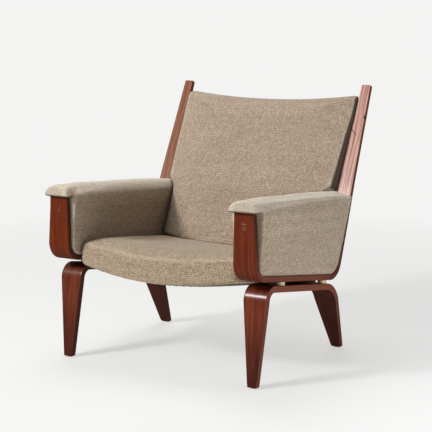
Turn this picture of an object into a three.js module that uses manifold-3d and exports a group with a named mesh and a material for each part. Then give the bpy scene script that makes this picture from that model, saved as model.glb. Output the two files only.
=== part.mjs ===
import * as THREE from 'three';
import { mergeVertices } from 'three/addons/utils/BufferGeometryUtils.js';
import Module from 'manifold-3d';

// An upholstered lounge chair carried by bent laminated wood. On each side one strip is bent into a
// front post, a rail and a leaning back post, and stands on a second strip bent into two legs and a
// bar, with round brass spacers between rail and bar. Millimetres, +Z up, the sitter faces -Y.
// Lengths along Y are counted from the front face of the front posts until the last step, which
// puts the origin on the floor under the middle of the chair. Pieces are drawn on the right (+X).

const degrees = Math.PI / 180;

// Whole chair
const overallHeight = 770;
const frameWidth = 676;
const joint = 0.3; // clearance between pieces that touch
const softGap = 0.6; // clearance round upholstery
const overrun = 6; // how far a cutting shape passes the face it opens
const weld = 0.0001;

// Laminated strips
const stripWidth = 70;
const sideLaminate = 15;
const legLaminate = 18.2;
const easedEdge = 1.6;
const bendStep = 9 * degrees;

// Side frame seen from the side
const railPitch = 8.9 * degrees;
const railFrontHeight = 293.4; // underside of the rail carried on to the front face of the posts
const sideFrameRun = 477; // from the front face to where rail and back post would meet
const frontPostHeight = 470;
const frontBendRadius = 53;
const rearBendRadius = 61;
const sweepHeight = 464; // where the back post leans further back
const sweepRadius = 1500;
const lowerLean = 21.3 * degrees;
const upperLean = 24.85 * degrees;

// Side frame seen from the front
const frontPostTopWidth = 58;
const frontPostTopInset = 9;
const bendEndWidth = 64;
const sweepWidth = 48;
const sweepInset = 0.6;
const backPostTopWidth = 28;
const backPostTopInset = 10;

// Leg frame
const spacerHeight = 9.2;
const spacerRadius = 12.5;
const spacerEase = 0.8;
const frontFootPlace = 34;
const frontLegCorner = 57;
const rearLegCorner = 459;
const rearFootPlace = 554;
const legFrontBendRadius = 42;
const legRearBendRadius = 92;
const footWidth = 28;
const footInset = 18.8;

// Glides under the feet
const glideRadius = 8;
const glideHeight = 2.5;
const glideEase = 0.6;
const glidePinRadius = 1.2;
const glidePinLength = 12;

// Frame bolts, from under the bar through spacer and rail into the arm
const spacerFrontPlace = 150;
const spacerRearPlace = 398;
const boltRadius = 4;
const boltHeadRadius = 7.5;
const boltHeadHeight = 4.5;
const boltSocketRadius = 3.4;
const boltSocketDepth = 2.8;
const boltBite = 28; // length in the arm core

// Arms
const armCoreInset = 3.6; // outer face of the core inside the outer edge of the rail
const armCoreThickness = 58;
const armCoreTopSetback = 24; // padding over the core
const armInnerOverhang = 5.5; // padding past the inner edge of the rail
const armOuterInset = 0.8;
const armFrontBulge = 12; // swell of the outer side
const armRearBulge = 8;
const armInnerBulge = 1.6;
const armCrown = 4;
const armFrontRise = 35; // of the top above the front post
const armRearTop = 466;
const armNoseOverhang = 14;
const armNoseRadius = 15;
const armFrontShoulder = 21;
const armRearShoulder = 9;

// Screw and plug in each front post
const postScrewDrop = 40; // below the top of the post
const plugRadius = 7.5;
const plugThickness = 4;
const screwRadius = 2.6;
const screwHeadRadius = 5;
const screwHeadHeight = 3;
const screwSlotWidth = 1.2;
const screwSlotDepth = 1.2;
const screwFreeLength = 30; // length in the piece that the screw bites into

// Seat, drawn in a frame that lies along the rails
const seatDrop = 8; // underside of the seat below the underside of the rails
const seatFrontSetback = 36;
const seatBow = 18; // how far the front swells forward in the middle
const seatRear = 489;
const seatFrontThickness = 63;
const seatRearThickness = 74;
const seatCrown = 17;
const seatCrownReach = 45; // from the front edge
const seatTopDish = 22;
const seatRearDish = 13;
const seatBottomDish = 31;
const seatTopRadius = 18;
const seatBottomRadius = 6;
const seatCornerRadius = 10;
const seatBelly = 1;
const seatSkin = 3.4; // upholstery past the edge of the shell
const seatShellThickness = 15;
const seatClothThickness = 1.2;
const seatClothInset = 34;

// Cleats that carry the seat on the bars of the leg frames
const cleatLength = 60;
const cleatWidth = 32;
const cleatHeight = 22;
const cleatFrontPlace = 195;
const cleatRearPlace = 350;
const cleatTail = 100; // how far the rear cleat runs on under the rear of the seat
const cleatScrewOffset = 14; // of the two screws from the middle of a short cleat
const cleatEase = 2;
const cleatShellScrewInset = 10;

// Back
const backTopDrop = 28; // corners of the upholstery below the tops of the posts
const backTopDip = 21;
const backBottomDepth = 88; // in front of the posts at the seat
const backTopDepth = 30;
const backLowerWall = 31; // height of the sides in front of the posts, between the arms
const backLedgeWall = 22; // just above the arms
const backWallTop = 13;
const backTopRadius = 15;
const backCornerRadius = 9;
const backBottomRadius = 14;
const backHollow = 10; // how far the middle of the shell lies behind its sides
const backShellThickness = 12;
const backSkin = 14; // upholstery above the shell
const backCoverThickness = 1.2;
const backSideClearance = 0.9;
const backScrewUpperDrop = 95; // below the tops of the posts
const backScrewLowerRise = 126; // above the corner of rail and back post
const backScrewRecess = 4;
const backScrewBite = 30;
const ledgeDrop = 14; // where the back widens, below the rear of the arms, which cut it to fit
const backSeatLap = 12; // how far the back is drawn into the seat before it is cut to fit it

// Counts
const roundSides = 16;
const plugSides = 24;
const spacerSides = 32;
const seatSideSteps = 7;
const seatFrontSteps = 16;
const seatRearSteps = 8;
const backSteps = 16;

const wood = new THREE.MeshStandardMaterial({ color: 0x6b2f1d, roughness: 0.38, metalness: 0 });
const coreWood = new THREE.MeshStandardMaterial({ color: 0xb98b5a, roughness: 0.7, metalness: 0 });
const plywood = new THREE.MeshStandardMaterial({ color: 0xc09a66, roughness: 0.7, metalness: 0 });
const cloth = new THREE.MeshStandardMaterial({ color: 0xaa9a80, roughness: 0.95, metalness: 0 });
const dustCloth = new THREE.MeshStandardMaterial({ color: 0x5b5138, roughness: 1, metalness: 0 });
const brass = new THREE.MeshStandardMaterial({ color: 0xc9a860, roughness: 0.35, metalness: 1 });
const steel = new THREE.MeshStandardMaterial({ color: 0x8d8f92, roughness: 0.4, metalness: 1 });
const nylon = new THREE.MeshStandardMaterial({ color: 0xd8d2c4, roughness: 0.6, metalness: 0 });

const wasm = await Module();
wasm.setup();

const { lerp, clamp, smoothstep } = THREE.MathUtils;
const flatOrigin = new THREE.Vector2(0, 0);
const upAxis = new THREE.Vector3(0, 1, 0);

// Closed meshes

function closedGeometry(points, triangles) {
  const positions = points.flatMap((point) => [point.x, point.y, point.z]);
  let volume = 0;
  const normal = new THREE.Vector3();
  for (const [a, b, c] of triangles) {
    volume += points[a].dot(normal.crossVectors(points[b], points[c]));
  }
  const outward = volume < 0 ? triangles.map(([a, b, c]) => [a, c, b]) : triangles;
  const geometry = new THREE.BufferGeometry();
  geometry.setAttribute('position', new THREE.Float32BufferAttribute(positions, 3));
  geometry.setIndex(outward.flat());
  geometry.computeVertexNormals();
  return geometry;
}

function fanCap(ring, centre) {
  return ring.map((point, i) => [centre, point, ring[(i + 1) % ring.length]]);
}

function ladderCap(ring) {
  // For a long ring whose second half runs back beside its first half
  const triangles = [];
  const last = ring.length - 1;
  for (let i = 0; i < ring.length / 2 - 1; i += 1) {
    triangles.push([ring[i], ring[i + 1], ring[last - i]]);
    triangles.push([ring[i + 1], ring[last - i - 1], ring[last - i]]);
  }
  return triangles;
}

function loft(rings, ladders = false) {
  const points = rings.flat();
  const size = rings[0].length;
  const triangles = [];
  for (let k = 0; k < rings.length - 1; k += 1) {
    for (let i = 0; i < size; i += 1) {
      const a = k * size + i;
      const b = k * size + (i + 1) % size;
      triangles.push([a, b, a + size]);
      triangles.push([b, b + size, a + size]);
    }
  }
  const first = rings[0].map((_, i) => i);
  const final = first.map((i) => (rings.length - 1) * size + i);
  if (ladders) {
    triangles.push(...ladderCap(first).map(([a, b, c]) => [a, c, b]));
    triangles.push(...ladderCap(final));
  } else {
    points.push(middle(rings[0]), middle(rings.at(-1)));
    triangles.push(...fanCap(first, points.length - 2).map(([a, b, c]) => [a, c, b]));
    triangles.push(...fanCap(final, points.length - 1));
  }
  return closedGeometry(points, triangles);
}

function middle(ring) {
  const sum = new THREE.Vector3();
  ring.forEach((point) => sum.add(point));
  return sum.divideScalar(ring.length);
}

// A sheet between two surfaces that share their grid
function sheet(uSteps, vSteps, top, bottom) {
  const points = [];
  for (const surface of [top, bottom]) {
    for (let j = 0; j <= vSteps; j += 1) {
      for (let i = 0; i <= uSteps; i += 1) {
        points.push(surface(i / uSteps, j / vSteps));
      }
    }
  }
  const row = uSteps + 1;
  const under = row * (vSteps + 1);
  const triangles = [];
  const quad = (a, b, c, d) => triangles.push([a, b, c], [a, c, d]);
  for (let j = 0; j < vSteps; j += 1) {
    for (let i = 0; i < uSteps; i += 1) {
      const a = j * row + i;
      quad(a, a + 1, a + row + 1, a + row);
      quad(under + a, under + a + row, under + a + row + 1, under + a + 1);
    }
  }
  for (let i = 0; i < uSteps; i += 1) {
    const far = vSteps * row + i;
    quad(i + 1, i, under + i, under + i + 1);
    quad(far, far + 1, under + far + 1, under + far);
  }
  for (let j = 0; j < vSteps; j += 1) {
    const near = j * row;
    const side = j * row + uSteps;
    quad(near, near + row, under + near + row, under + near);
    quad(side + row, side, under + side, under + side + row);
  }
  return closedGeometry(points, triangles);
}

// Joining and cutting

function toSolid(geometry) {
  const bare = geometry.clone();
  bare.deleteAttribute('normal');
  bare.deleteAttribute('uv');
  const merged = mergeVertices(bare, weld);
  const vertProperties = new Float32Array(merged.attributes.position.array);
  const triVerts = new Uint32Array(merged.index.array);
  return new wasm.Manifold(new wasm.Mesh({ numProp: 3, vertProperties, triVerts }));
}

function fromSolid(solid) {
  const mesh = solid.getMesh();
  const geometry = new THREE.BufferGeometry();
  geometry.setAttribute('position', new THREE.Float32BufferAttribute(mesh.vertProperties, 3));
  geometry.setIndex(Array.from(mesh.triVerts));
  geometry.computeVertexNormals();
  return geometry;
}

function cut(body, ...tools) {
  return fromSolid(tools.reduce((solid, tool) => solid.subtract(toSolid(tool)), toSolid(body)));
}

function shared(body, mould) {
  return fromSolid(toSolid(body).intersect(toSolid(mould)));
}

// A round or many-sided bar between two points
function rod(radius, from, to, sides = roundSides) {
  const run = to.clone().sub(from);
  const geometry = new THREE.CylinderGeometry(radius, radius, run.length(), sides);
  const turn = new THREE.Quaternion().setFromUnitVectors(upAxis, run.clone().normalize());
  geometry.applyQuaternion(turn);
  const centre = from.clone().add(to).multiplyScalar(0.5);
  return geometry.translate(centre.x, centre.y, centre.z);
}

// A turned piece whose axis runs from a point along a direction
function turned(profile, from, direction, sides = roundSides) {
  const outline = profile.map(([radius, height]) => new THREE.Vector2(radius, height));
  const geometry = new THREE.LatheGeometry(outline, sides);
  const turn = new THREE.Quaternion().setFromUnitVectors(upAxis, direction);
  geometry.applyQuaternion(turn);
  return geometry.translate(from.x, from.y, from.z);
}

// An outline in the side view carried across the chair
function extrudeAcross(outline, fromX, toX) {
  const shape = new THREE.Shape(outline);
  const geometry = new THREE.ExtrudeGeometry(shape, { depth: toX - fromX, bevelEnabled: false });
  const side = new THREE.Vector3(1, 0, 0);
  const rear = new THREE.Vector3(0, 1, 0);
  const up = new THREE.Vector3(0, 0, 1);
  geometry.applyMatrix4(new THREE.Matrix4().makeBasis(rear, up, side));
  return geometry.translate(fromX, 0, 0);
}

// Bent lines in the side view, as straight runs joined by arcs

const leftOf = (direction) => new THREE.Vector2(-direction.y, direction.x);

function bentLine(corners, radii) {
  const stations = [];
  const marks = [];
  const add = (point, tangent) => {
    const before = stations.at(-1);
    const along = before ? before.along + point.distanceTo(before.point) : 0;
    stations.push({ point, tangent, along });
  };
  const runs = corners.slice(1).map((corner, i) => corner.clone().sub(corners[i]).normalize());
  add(corners[0], runs[0]);
  radii.forEach((radius, i) => {
    const turn = Math.atan2(runs[i].cross(runs[i + 1]), runs[i].dot(runs[i + 1]));
    const side = Math.sign(turn);
    const reach = radius * Math.tan(Math.abs(turn) / 2);
    const start = corners[i + 1].clone().addScaledVector(runs[i], -reach);
    const centre = start.clone().addScaledVector(leftOf(runs[i]), side * radius);
    const steps = Math.max(2, Math.ceil(Math.abs(turn) / bendStep));
    for (let k = 0; k <= steps; k += 1) {
      const tangent = runs[i].clone().rotateAround(flatOrigin, turn * k / steps);
      add(centre.clone().addScaledVector(leftOf(tangent), -side * radius), tangent);
      if (k === 0 || k === steps) marks.push(stations.at(-1).along);
    }
  });
  add(corners.at(-1), runs.at(-1));
  marks.unshift(0);
  marks.push(stations.at(-1).along);
  return { stations, marks };
}

function tableValue(table, along) {
  const next = table.findIndex((row) => row.along >= along - weld);
  const index = next < 0 ? table.length - 1 : next;
  if (index === 0) return table[0];
  const [a, b] = [table[index - 1], table[index]];
  const share = clamp((along - a.along) / (b.along - a.along), 0, 1);
  return { inset: lerp(a.inset, b.inset, share), width: lerp(a.width, b.width, share) };
}

// A strip of laminated wood on a bent line, with eased edges and a width that follows a table
function laminate(line, inward, thickness, widths, levelEnds) {
  const rings = line.stations.map(({ point, tangent, along }, i) => {
    const { inset, width } = tableValue(widths, along);
    const outer = frameWidth / 2 - inset;
    const inner = outer - width;
    const isEnd = i === 0 || i === line.stations.length - 1;
    const normal = leftOf(tangent).multiplyScalar(inward);
    const place = (x, depth) => {
      const slide = levelEnds && isEnd ? -normal.y * depth / tangent.y : 0;
      const spot = point.clone().addScaledVector(normal, depth).addScaledVector(tangent, slide);
      return new THREE.Vector3(x, spot.x, spot.y);
    };
    return [
      place(inner + easedEdge, 0),
      place(outer - easedEdge, 0),
      place(outer, easedEdge),
      place(outer, thickness - easedEdge),
      place(outer - easedEdge, thickness),
      place(inner + easedEdge, thickness),
      place(inner, thickness - easedEdge),
      place(inner, easedEdge),
    ];
  });
  return loft(rings);
}

// The line of the side frame's outer faces: front post, rail, back post

const railSlope = Math.tan(railPitch);
const railHeight = (y) => railFrontHeight - railSlope * y;
const alongRail = new THREE.Vector3(0, Math.cos(railPitch), -Math.sin(railPitch));
const offRail = new THREE.Vector3(0, Math.sin(railPitch), Math.cos(railPitch));
const rearCornerHeight = railHeight(sideFrameRun);
const sweepPlace = sideFrameRun + Math.tan(lowerLean) * (sweepHeight - rearCornerHeight);
const backTopEdge = overallHeight - sideLaminate * Math.sin(upperLean);
const backTopPlace = sweepPlace + Math.tan(upperLean) * (backTopEdge - sweepHeight);

const sideLine = bentLine(
  [
    new THREE.Vector2(0, frontPostHeight),
    new THREE.Vector2(0, railFrontHeight),
    new THREE.Vector2(sideFrameRun, rearCornerHeight),
    new THREE.Vector2(sweepPlace, sweepHeight),
    new THREE.Vector2(backTopPlace, backTopEdge),
  ],
  [frontBendRadius, rearBendRadius, sweepRadius],
);

const sideWidths = [
  { along: sideLine.marks[0], inset: frontPostTopInset, width: frontPostTopWidth },
  { along: sideLine.marks[1], inset: 0, width: stripWidth },
  { along: sideLine.marks[3], inset: 0, width: stripWidth },
  { along: sideLine.marks[4], inset: 0, width: bendEndWidth },
  { along: sideLine.marks[5], inset: sweepInset, width: sweepWidth },
  { along: sideLine.marks[7], inset: backPostTopInset, width: backPostTopWidth },
];

// The inner face of the side frame, moved off by a clearance
function innerFace(clearance) {
  return sideLine.stations.map(({ point, tangent }) =>
    point.clone().addScaledVector(leftOf(tangent), sideLaminate + clearance));
}

// The back post at a height: its front face and its two edges
function postAt(height) {
  const face = innerFace(0);
  const first = sideLine.stations.length - face.slice().reverse().findIndex((p) => p.y < height);
  const high = clamp(first, 1, face.length - 1);
  const [low, top] = [face[high - 1], face[high]];
  const share = (height - low.y) / (top.y - low.y);
  const along = lerp(sideLine.stations[high - 1].along, sideLine.stations[high].along, share);
  const { inset, width } = tableValue(sideWidths, along);
  const outer = frameWidth / 2 - inset;
  return { front: lerp(low.x, top.x, share), outer, inner: outer - width };
}

const postDepth = sideLaminate / Math.cos(lowerLean); // measured level

// Holes and fastenings

const backScrewUpper = overallHeight - backScrewUpperDrop;
const backScrewLower = rearCornerHeight + backScrewLowerRise;

const spacerX = frameWidth / 2 - spacerRadius;
const boltSunk = boltHeadHeight + joint; // from the underside of the bar to the seat of the head
const boltLength = legLaminate - boltSunk + spacerHeight + 2 * joint + sideLaminate + boltBite;
const barTop = (y) => new THREE.Vector3(spacerX, y, railHeight(y))
  .addScaledVector(offRail, -spacerHeight - 2 * joint);
const boltStart = (y) => barTop(y).addScaledVector(offRail, boltSunk - legLaminate);

function boltHole(y) {
  const from = boltStart(y).addScaledVector(offRail, -overrun);
  const to = boltStart(y).addScaledVector(offRail, boltLength + 2 * joint);
  return rod(boltRadius + joint, from, to);
}

const postScrewHeight = frontPostHeight - postScrewDrop;
const postScrewX = frameWidth / 2 - frontPostTopInset - frontPostTopWidth / 2;
const postScrewHead = plugThickness + 2 * joint;
const postScrewLength = sideLaminate - postScrewHead + screwFreeLength;

function boltRecess(y) {
  const from = boltStart(y).addScaledVector(offRail, -boltSunk - overrun);
  const to = boltStart(y).addScaledVector(offRail, joint);
  return rod(boltHeadRadius + joint, from, to);
}

function postScrewHoles() {
  const at = (y) => new THREE.Vector3(postScrewX, y, postScrewHeight);
  const deep = at(postScrewHead + screwHeadHeight + joint);
  const bore = rod(plugRadius + joint, at(-overrun), deep, plugSides);
  const shank = rod(screwRadius + joint, at(0), at(postScrewHead + postScrewLength + joint));
  return [bore, shank];
}

// Where a screw through the edge of the back post starts, by height
function backScrewStart(height) {
  const post = postAt(height);
  return new THREE.Vector3(post.outer - backScrewRecess, post.front + postDepth / 2, height);
}

const backScrewLength = (height) => {
  const post = postAt(height);
  return post.outer - backScrewRecess - post.inner + backSideClearance + backScrewBite;
};

function backScrewHoles(height) {
  const head = backScrewStart(height);
  const out = head.clone().setX(head.x + backScrewRecess + overrun);
  const seat = head.clone().setX(head.x - screwHeadHeight - joint);
  const end = head.clone().setX(head.x - backScrewLength(height) - joint);
  return [rod(screwHeadRadius + joint, out, seat), rod(screwRadius + joint, out, end)];
}

// A slotted screw: the head starts at a point and the shank follows a direction
function screw(start, direction, length) {
  const profile = [
    [0, 0],
    [screwHeadRadius, 0],
    [screwHeadRadius, screwHeadHeight],
    [screwRadius, screwHeadHeight],
    [screwRadius, length],
    [0, length],
  ];
  const across = new THREE.Vector3(0, 0, 1).cross(direction);
  if (across.length() < 0.5) across.set(1, 0, 0);
  across.normalize();
  const slot = new THREE.BoxGeometry(screwSlotWidth, 2 * screwSlotDepth, 2 * screwHeadRadius + overrun);
  const basis = new THREE.Matrix4().makeBasis(across, direction, across.clone().cross(direction));
  slot.applyMatrix4(basis);
  slot.translate(start.x, start.y, start.z);
  return cut(turned(profile, start, direction), slot);
}

// Laminated frames

function sideFrame() {
  const strip = laminate(sideLine, 1, sideLaminate, sideWidths, false);
  return cut(
    strip,
    boltHole(spacerFrontPlace),
    boltHole(spacerRearPlace),
    ...postScrewHoles(),
    ...backScrewHoles(backScrewUpper),
    ...backScrewHoles(backScrewLower),
  );
}

const barDrop = (spacerHeight + 2 * joint) / Math.cos(railPitch);
const footHeight = glideHeight + joint;
const legLine = bentLine(
  [
    new THREE.Vector2(frontFootPlace, footHeight),
    new THREE.Vector2(frontLegCorner, railHeight(frontLegCorner) - barDrop),
    new THREE.Vector2(rearLegCorner, railHeight(rearLegCorner) - barDrop),
    new THREE.Vector2(rearFootPlace, footHeight),
  ],
  [legFrontBendRadius, legRearBendRadius],
);
const legWidths = [
  { along: legLine.marks[0], inset: footInset, width: footWidth },
  { along: legLine.marks[1], inset: 0, width: stripWidth },
  { along: legLine.marks[4], inset: 0, width: stripWidth },
  { along: legLine.marks[5], inset: footInset, width: footWidth },
];

// The middle of a foot's end face
function footCentre(end) {
  const { point, tangent } = legLine.stations.at(end);
  const depth = legLaminate / 2;
  const normal = leftOf(tangent).multiplyScalar(-1);
  const slide = -normal.y * depth / tangent.y;
  const spot = point.clone().addScaledVector(normal, depth).addScaledVector(tangent, slide);
  return new THREE.Vector3(frameWidth / 2 - footInset - footWidth / 2, spot.x, 0);
}

function legFrame() {
  const strip = laminate(legLine, -1, legLaminate, legWidths, true);
  const pinHoles = [0, -1].map((end) => {
    const foot = footCentre(end);
    const top = foot.clone().setZ(glideHeight + glidePinLength + joint);
    return rod(glidePinRadius + joint, foot, top, roundSides / 2);
  });
  const screwHoles = [cleatFrontPlace, cleatRearPlace].map(cleatSideHole);
  const boltHoles = [spacerFrontPlace, spacerRearPlace].flatMap((y) => [boltHole(y), boltRecess(y)]);
  return cut(strip, ...boltHoles, ...pinHoles, ...screwHoles);
}

function spacer(y) {
  const bore = boltRadius + joint;
  const profile = [
    [bore, 0],
    [spacerRadius - spacerEase, 0],
    [spacerRadius, spacerEase],
    [spacerRadius, spacerHeight - spacerEase],
    [spacerRadius - spacerEase, spacerHeight],
    [bore, spacerHeight],
    [bore, 0],
  ];
  return turned(profile, barTop(y).addScaledVector(offRail, joint), offRail, spacerSides);
}

function frameBolt(y) {
  const profile = [
    [0, -boltHeadHeight],
    [boltHeadRadius, -boltHeadHeight],
    [boltHeadRadius, 0],
    [boltRadius, 0],
    [boltRadius, boltLength],
    [0, boltLength],
  ];
  const start = boltStart(y);
  const low = start.clone().addScaledVector(offRail, -boltHeadHeight - overrun);
  const deep = start.clone().addScaledVector(offRail, boltSocketDepth - boltHeadHeight);
  return cut(turned(profile, start, offRail), rod(boltSocketRadius, low, deep, 6));
}

function glide(end) {
  const top = glideHeight;
  const profile = [
    [0, 0],
    [glideRadius - glideEase, 0],
    [glideRadius, glideEase],
    [glideRadius, top],
    [glidePinRadius, top],
    [glidePinRadius, top + glidePinLength],
    [0, top + glidePinLength],
  ];
  return turned(profile, footCentre(end), new THREE.Vector3(0, 0, 1));
}

// Arms

const armRun = postAt(armRearTop).front;
const armFrontTop = frontPostHeight + armFrontRise;
const armTopHeight = (y) => lerp(armFrontTop, armRearTop, y / armRun);
const armCoreOuter = frameWidth / 2 - armCoreInset;
const armCoreInner = armCoreOuter - armCoreThickness;
const stripInner = frameWidth / 2 - stripWidth;
const armInner = stripInner - armInnerOverhang;

// The space inside the bend of the side frame, up to two heights
function bendOutline(clearance, frontHeight, rearHeight) {
  const limit = (point) => (point.x < sideFrameRun / 2 ? frontHeight : rearHeight);
  const low = innerFace(clearance).filter((point) => point.y < limit(point) - joint);
  const rear = postAt(rearHeight).front - clearance / Math.cos(lowerLean);
  const front = sideLaminate + clearance;
  return [new THREE.Vector2(front, frontHeight), ...low, new THREE.Vector2(rear, rearHeight)];
}

function armCore() {
  const outline = bendOutline(joint, frontPostHeight - softGap, armRearTop - armCoreTopSetback);
  const core = extrudeAcross(outline, armCoreInner, armCoreOuter);
  const holes = [boltHole(spacerFrontPlace), boltHole(spacerRearPlace), postScrewHoles()[1]];
  return cut(core, ...holes);
}

const innerDrawShare = 0.6;

// The upright section of the arm's upholstery at a distance from the front
function armSection(y) {
  const noseEnd = -armNoseOverhang + armNoseRadius;
  const into = clamp((noseEnd - y) / armNoseRadius, 0, 1);
  const draw = armNoseRadius * (1 - Math.sqrt(1 - into * into));
  const top = armTopHeight(y) - armCrown - draw;
  const low = railHeight(y) - stripWidth;
  const share = clamp(y / armRun, 0, 1);
  const shoulder = lerp(armFrontShoulder, armRearShoulder, share);
  const outer = frameWidth / 2 - armOuterInset - draw;
  const inner = armInner + draw * innerDrawShare;
  const bulge = lerp(armFrontBulge, armRearBulge, share) * (1 - into / 2);
  const foot = railHeight(y) + sideLaminate;
  const spring = top - shoulder;
  const swell = (z) => Math.sin(clamp((z - foot) / (spring - foot), 0, 1) * Math.PI / 2);
  const ring = [];
  const sideSteps = 5;
  const arcSteps = 4;
  const crownSteps = 4;
  for (let k = 0; k <= sideSteps; k += 1) {
    const z = k === 0 ? low : lerp(foot, spring, (k - 1) / (sideSteps - 1));
    ring.push(new THREE.Vector3(outer + bulge * swell(z), y, z));
  }
  const wide = outer + bulge;
  for (let k = 1; k < arcSteps; k += 1) {
    const angle = k / arcSteps * Math.PI / 2;
    ring.push(new THREE.Vector3(
      wide - shoulder * (1 - Math.cos(angle)), y, spring + shoulder * Math.sin(angle)));
  }
  const narrow = inner - armInnerBulge;
  for (let k = 0; k <= crownSteps; k += 1) {
    const across = k / crownSteps;
    const x = lerp(wide - shoulder, narrow + shoulder, across);
    ring.push(new THREE.Vector3(x, y, top + armCrown * Math.sin(Math.PI * across)));
  }
  for (let k = arcSteps - 1; k > 0; k -= 1) {
    const angle = k / arcSteps * Math.PI / 2;
    ring.push(new THREE.Vector3(
      narrow + shoulder * (1 - Math.cos(angle)), y, spring + shoulder * Math.sin(angle)));
  }
  for (let k = sideSteps; k >= 0; k -= 1) {
    const z = k === 0 ? low : lerp(foot, spring, (k - 1) / (sideSteps - 1));
    ring.push(new THREE.Vector3(inner - armInnerBulge * swell(z), y, z));
  }
  return ring;
}

function armStations() {
  const noseShares = [0, 0.07, 0.22, 0.5, 1];
  const runShares = [0.1, 0.22, 0.36, 0.5, 0.64, 0.78, 0.9, 1.1];
  const nose = noseShares.map((share) => armNoseRadius * share - armNoseOverhang);
  return [...nose, ...runShares.map((share) => armRun * share)];
}

function armPad() {
  const body = loft(armStations().map(armSection));
  const clear = softGap;
  const high = armFrontTop + armCrown + overrun;
  const inside = bendOutline(clear, frontPostHeight, high);
  const front = -armNoseOverhang - overrun;
  const shelf = frontPostHeight + clear;
  inside[0] = new THREE.Vector2(sideLaminate + clear, shelf);
  const outline = [...inside, new THREE.Vector2(front, high), new THREE.Vector2(front, shelf)];
  const drop = armCoreTopSetback - softGap;
  const pocket = extrudeAcross(
    bendOutline(-easedEdge, frontPostHeight, armRearTop - drop),
    armCoreInner - softGap,
    armCoreOuter + softGap,
  );
  const room = extrudeAcross(outline, stripInner - stripWidth, frameWidth);
  return cut(shared(body, room), pocket);
}

function postScrew() {
  const start = new THREE.Vector3(postScrewX, postScrewHead, postScrewHeight);
  return screw(start, new THREE.Vector3(0, 1, 0), postScrewLength);
}

function postPlug() {
  const start = new THREE.Vector3(postScrewX, joint, postScrewHeight);
  const profile = [
    [0, 0],
    [plugRadius, 0],
    [plugRadius, plugThickness],
    [0, plugThickness],
  ];
  return turned(profile, start, new THREE.Vector3(0, 1, 0), plugSides);
}

// Seat, in its own frame: x across, y along the rails, z off the rails

const seatHalf = armInner - armInnerBulge - softGap;
const dishShare = (x) => 1 - Math.abs(clamp(x / seatHalf, -1, 1)) ** 1.9;
const seatBottom = (x) => -seatBottomDish * dishShare(x);
const seatTop = (x, y) => {
  const share = y / seatRear;
  const crown = seatCrown * (1 - Math.exp(-Math.max(0, y - seatFront(x, 0)) / seatCrownReach));
  const dish = lerp(seatTopDish, seatRearDish, share) * dishShare(x);
  return lerp(seatFrontThickness, seatRearThickness, share) + crown - dish;
};

function seatFront(x, inset) {
  const share = clamp(x / seatHalf, -1, 1);
  const bow = seatBow * (1 - share * share);
  const past = Math.max(0, Math.abs(x) - (seatHalf - inset - seatCornerRadius));
  const round = seatCornerRadius - Math.sqrt(Math.max(0, seatCornerRadius ** 2 - past ** 2));
  return seatFrontSetback - bow + inset + Math.min(round, seatCornerRadius);
}

// The seat's outline moved in, from the middle of the rear round by the right
function seatOutline(inset) {
  const half = seatHalf - inset;
  const rear = seatRear - inset;
  const ring = [];
  for (let i = 0; i < seatRearSteps; i += 1) {
    ring.push([lerp(-half, half, i / seatRearSteps), rear]);
  }
  const corner = seatFront(half, inset);
  for (let i = 0; i < seatSideSteps; i += 1) ring.push([half, lerp(rear, corner, i / seatSideSteps)]);
  for (let i = 0; i < seatFrontSteps; i += 1) {
    const x = half * Math.cos(Math.PI * i / seatFrontSteps);
    ring.push([x, seatFront(x, inset)]);
  }
  for (let i = 0; i < seatSideSteps; i += 1) ring.push([-half, lerp(corner, rear, i / seatSideSteps)]);
  return ring;
}

const seatRing = (inset, height) =>
  seatOutline(inset).map(([x, y]) => new THREE.Vector3(x, y, height(x, y)));

function seatBody() {
  const floorShares = [0.7, 0.4, 0.18];
  const crownShares = [0.14, 0.24, 0.38, 0.56, 0.76];
  const rings = floorShares.map((share) => seatRing(seatHalf * share, seatBottom));
  const arc = [0, 30, 60, 90].map((angle) => angle * degrees);
  for (const angle of arc) {
    const inset = seatBottomRadius * (1 - Math.sin(angle));
    const lift = seatBottomRadius * (1 - Math.cos(angle));
    rings.push(seatRing(inset + seatBelly, (x) => seatBottom(x) + lift));
  }
  rings.push(seatRing(0, (x, y) => lerp(seatBottom(x), seatTop(x, y), 0.5)));
  for (const angle of arc.toReversed()) {
    const inset = seatTopRadius * (1 - Math.sin(angle));
    const sink = seatTopRadius * (1 - Math.cos(angle));
    rings.push(seatRing(inset + seatBelly / 2, (x, y) => seatTop(x, y) - sink));
  }
  rings.push(...crownShares.map((share) => seatRing(seatHalf * share, seatTop)));
  return loft(rings);
}

// A layer of the seat that follows its dish, between two heights off the underside
function seatLayer(inset, low, high, uSteps = 16, vSteps = 4) {
  const half = seatHalf - inset;
  const surface = (lift) => (u, v) => {
    const x = half * Math.sin((u - 0.5) * Math.PI);
    const y = lerp(seatFront(x, inset), seatRear - inset, v);
    return new THREE.Vector3(x, y, seatBottom(x) + lift);
  };
  return sheet(uSteps, vSteps, surface(high), surface(low));
}

const seatEdge = seatSkin + seatBelly;

function seatPad() {
  const pocket = seatLayer(seatEdge, -overrun, seatShellThickness + joint);
  return cut(seatBody(), pocket);
}

function seatShell() {
  const shell = seatLayer(seatEdge + softGap, 0, seatShellThickness);
  const holes = [cleatFrontPlace, cleatRearPlace].flatMap((y) => {
    const right = cleatShellHole(y);
    return [right, right.clone().scale(-1, 1, 1)];
  });
  return cut(shell, ...holes.map(outwardCopy));
}

// A mirrored tool turned inside out again
function outwardCopy(geometry) {
  const points = [];
  const position = geometry.attributes.position;
  for (let i = 0; i < position.count; i += 1) {
    points.push(new THREE.Vector3().fromBufferAttribute(position, i));
  }
  const index = Array.from(geometry.index.array);
  const triangles = [];
  for (let i = 0; i < index.length; i += 3) triangles.push(index.slice(i, i + 3));
  return closedGeometry(points, triangles);
}

const seatCloth = () => seatLayer(seatClothInset, -joint - seatClothThickness, -joint);

// Cleats, in the seat's frame

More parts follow.
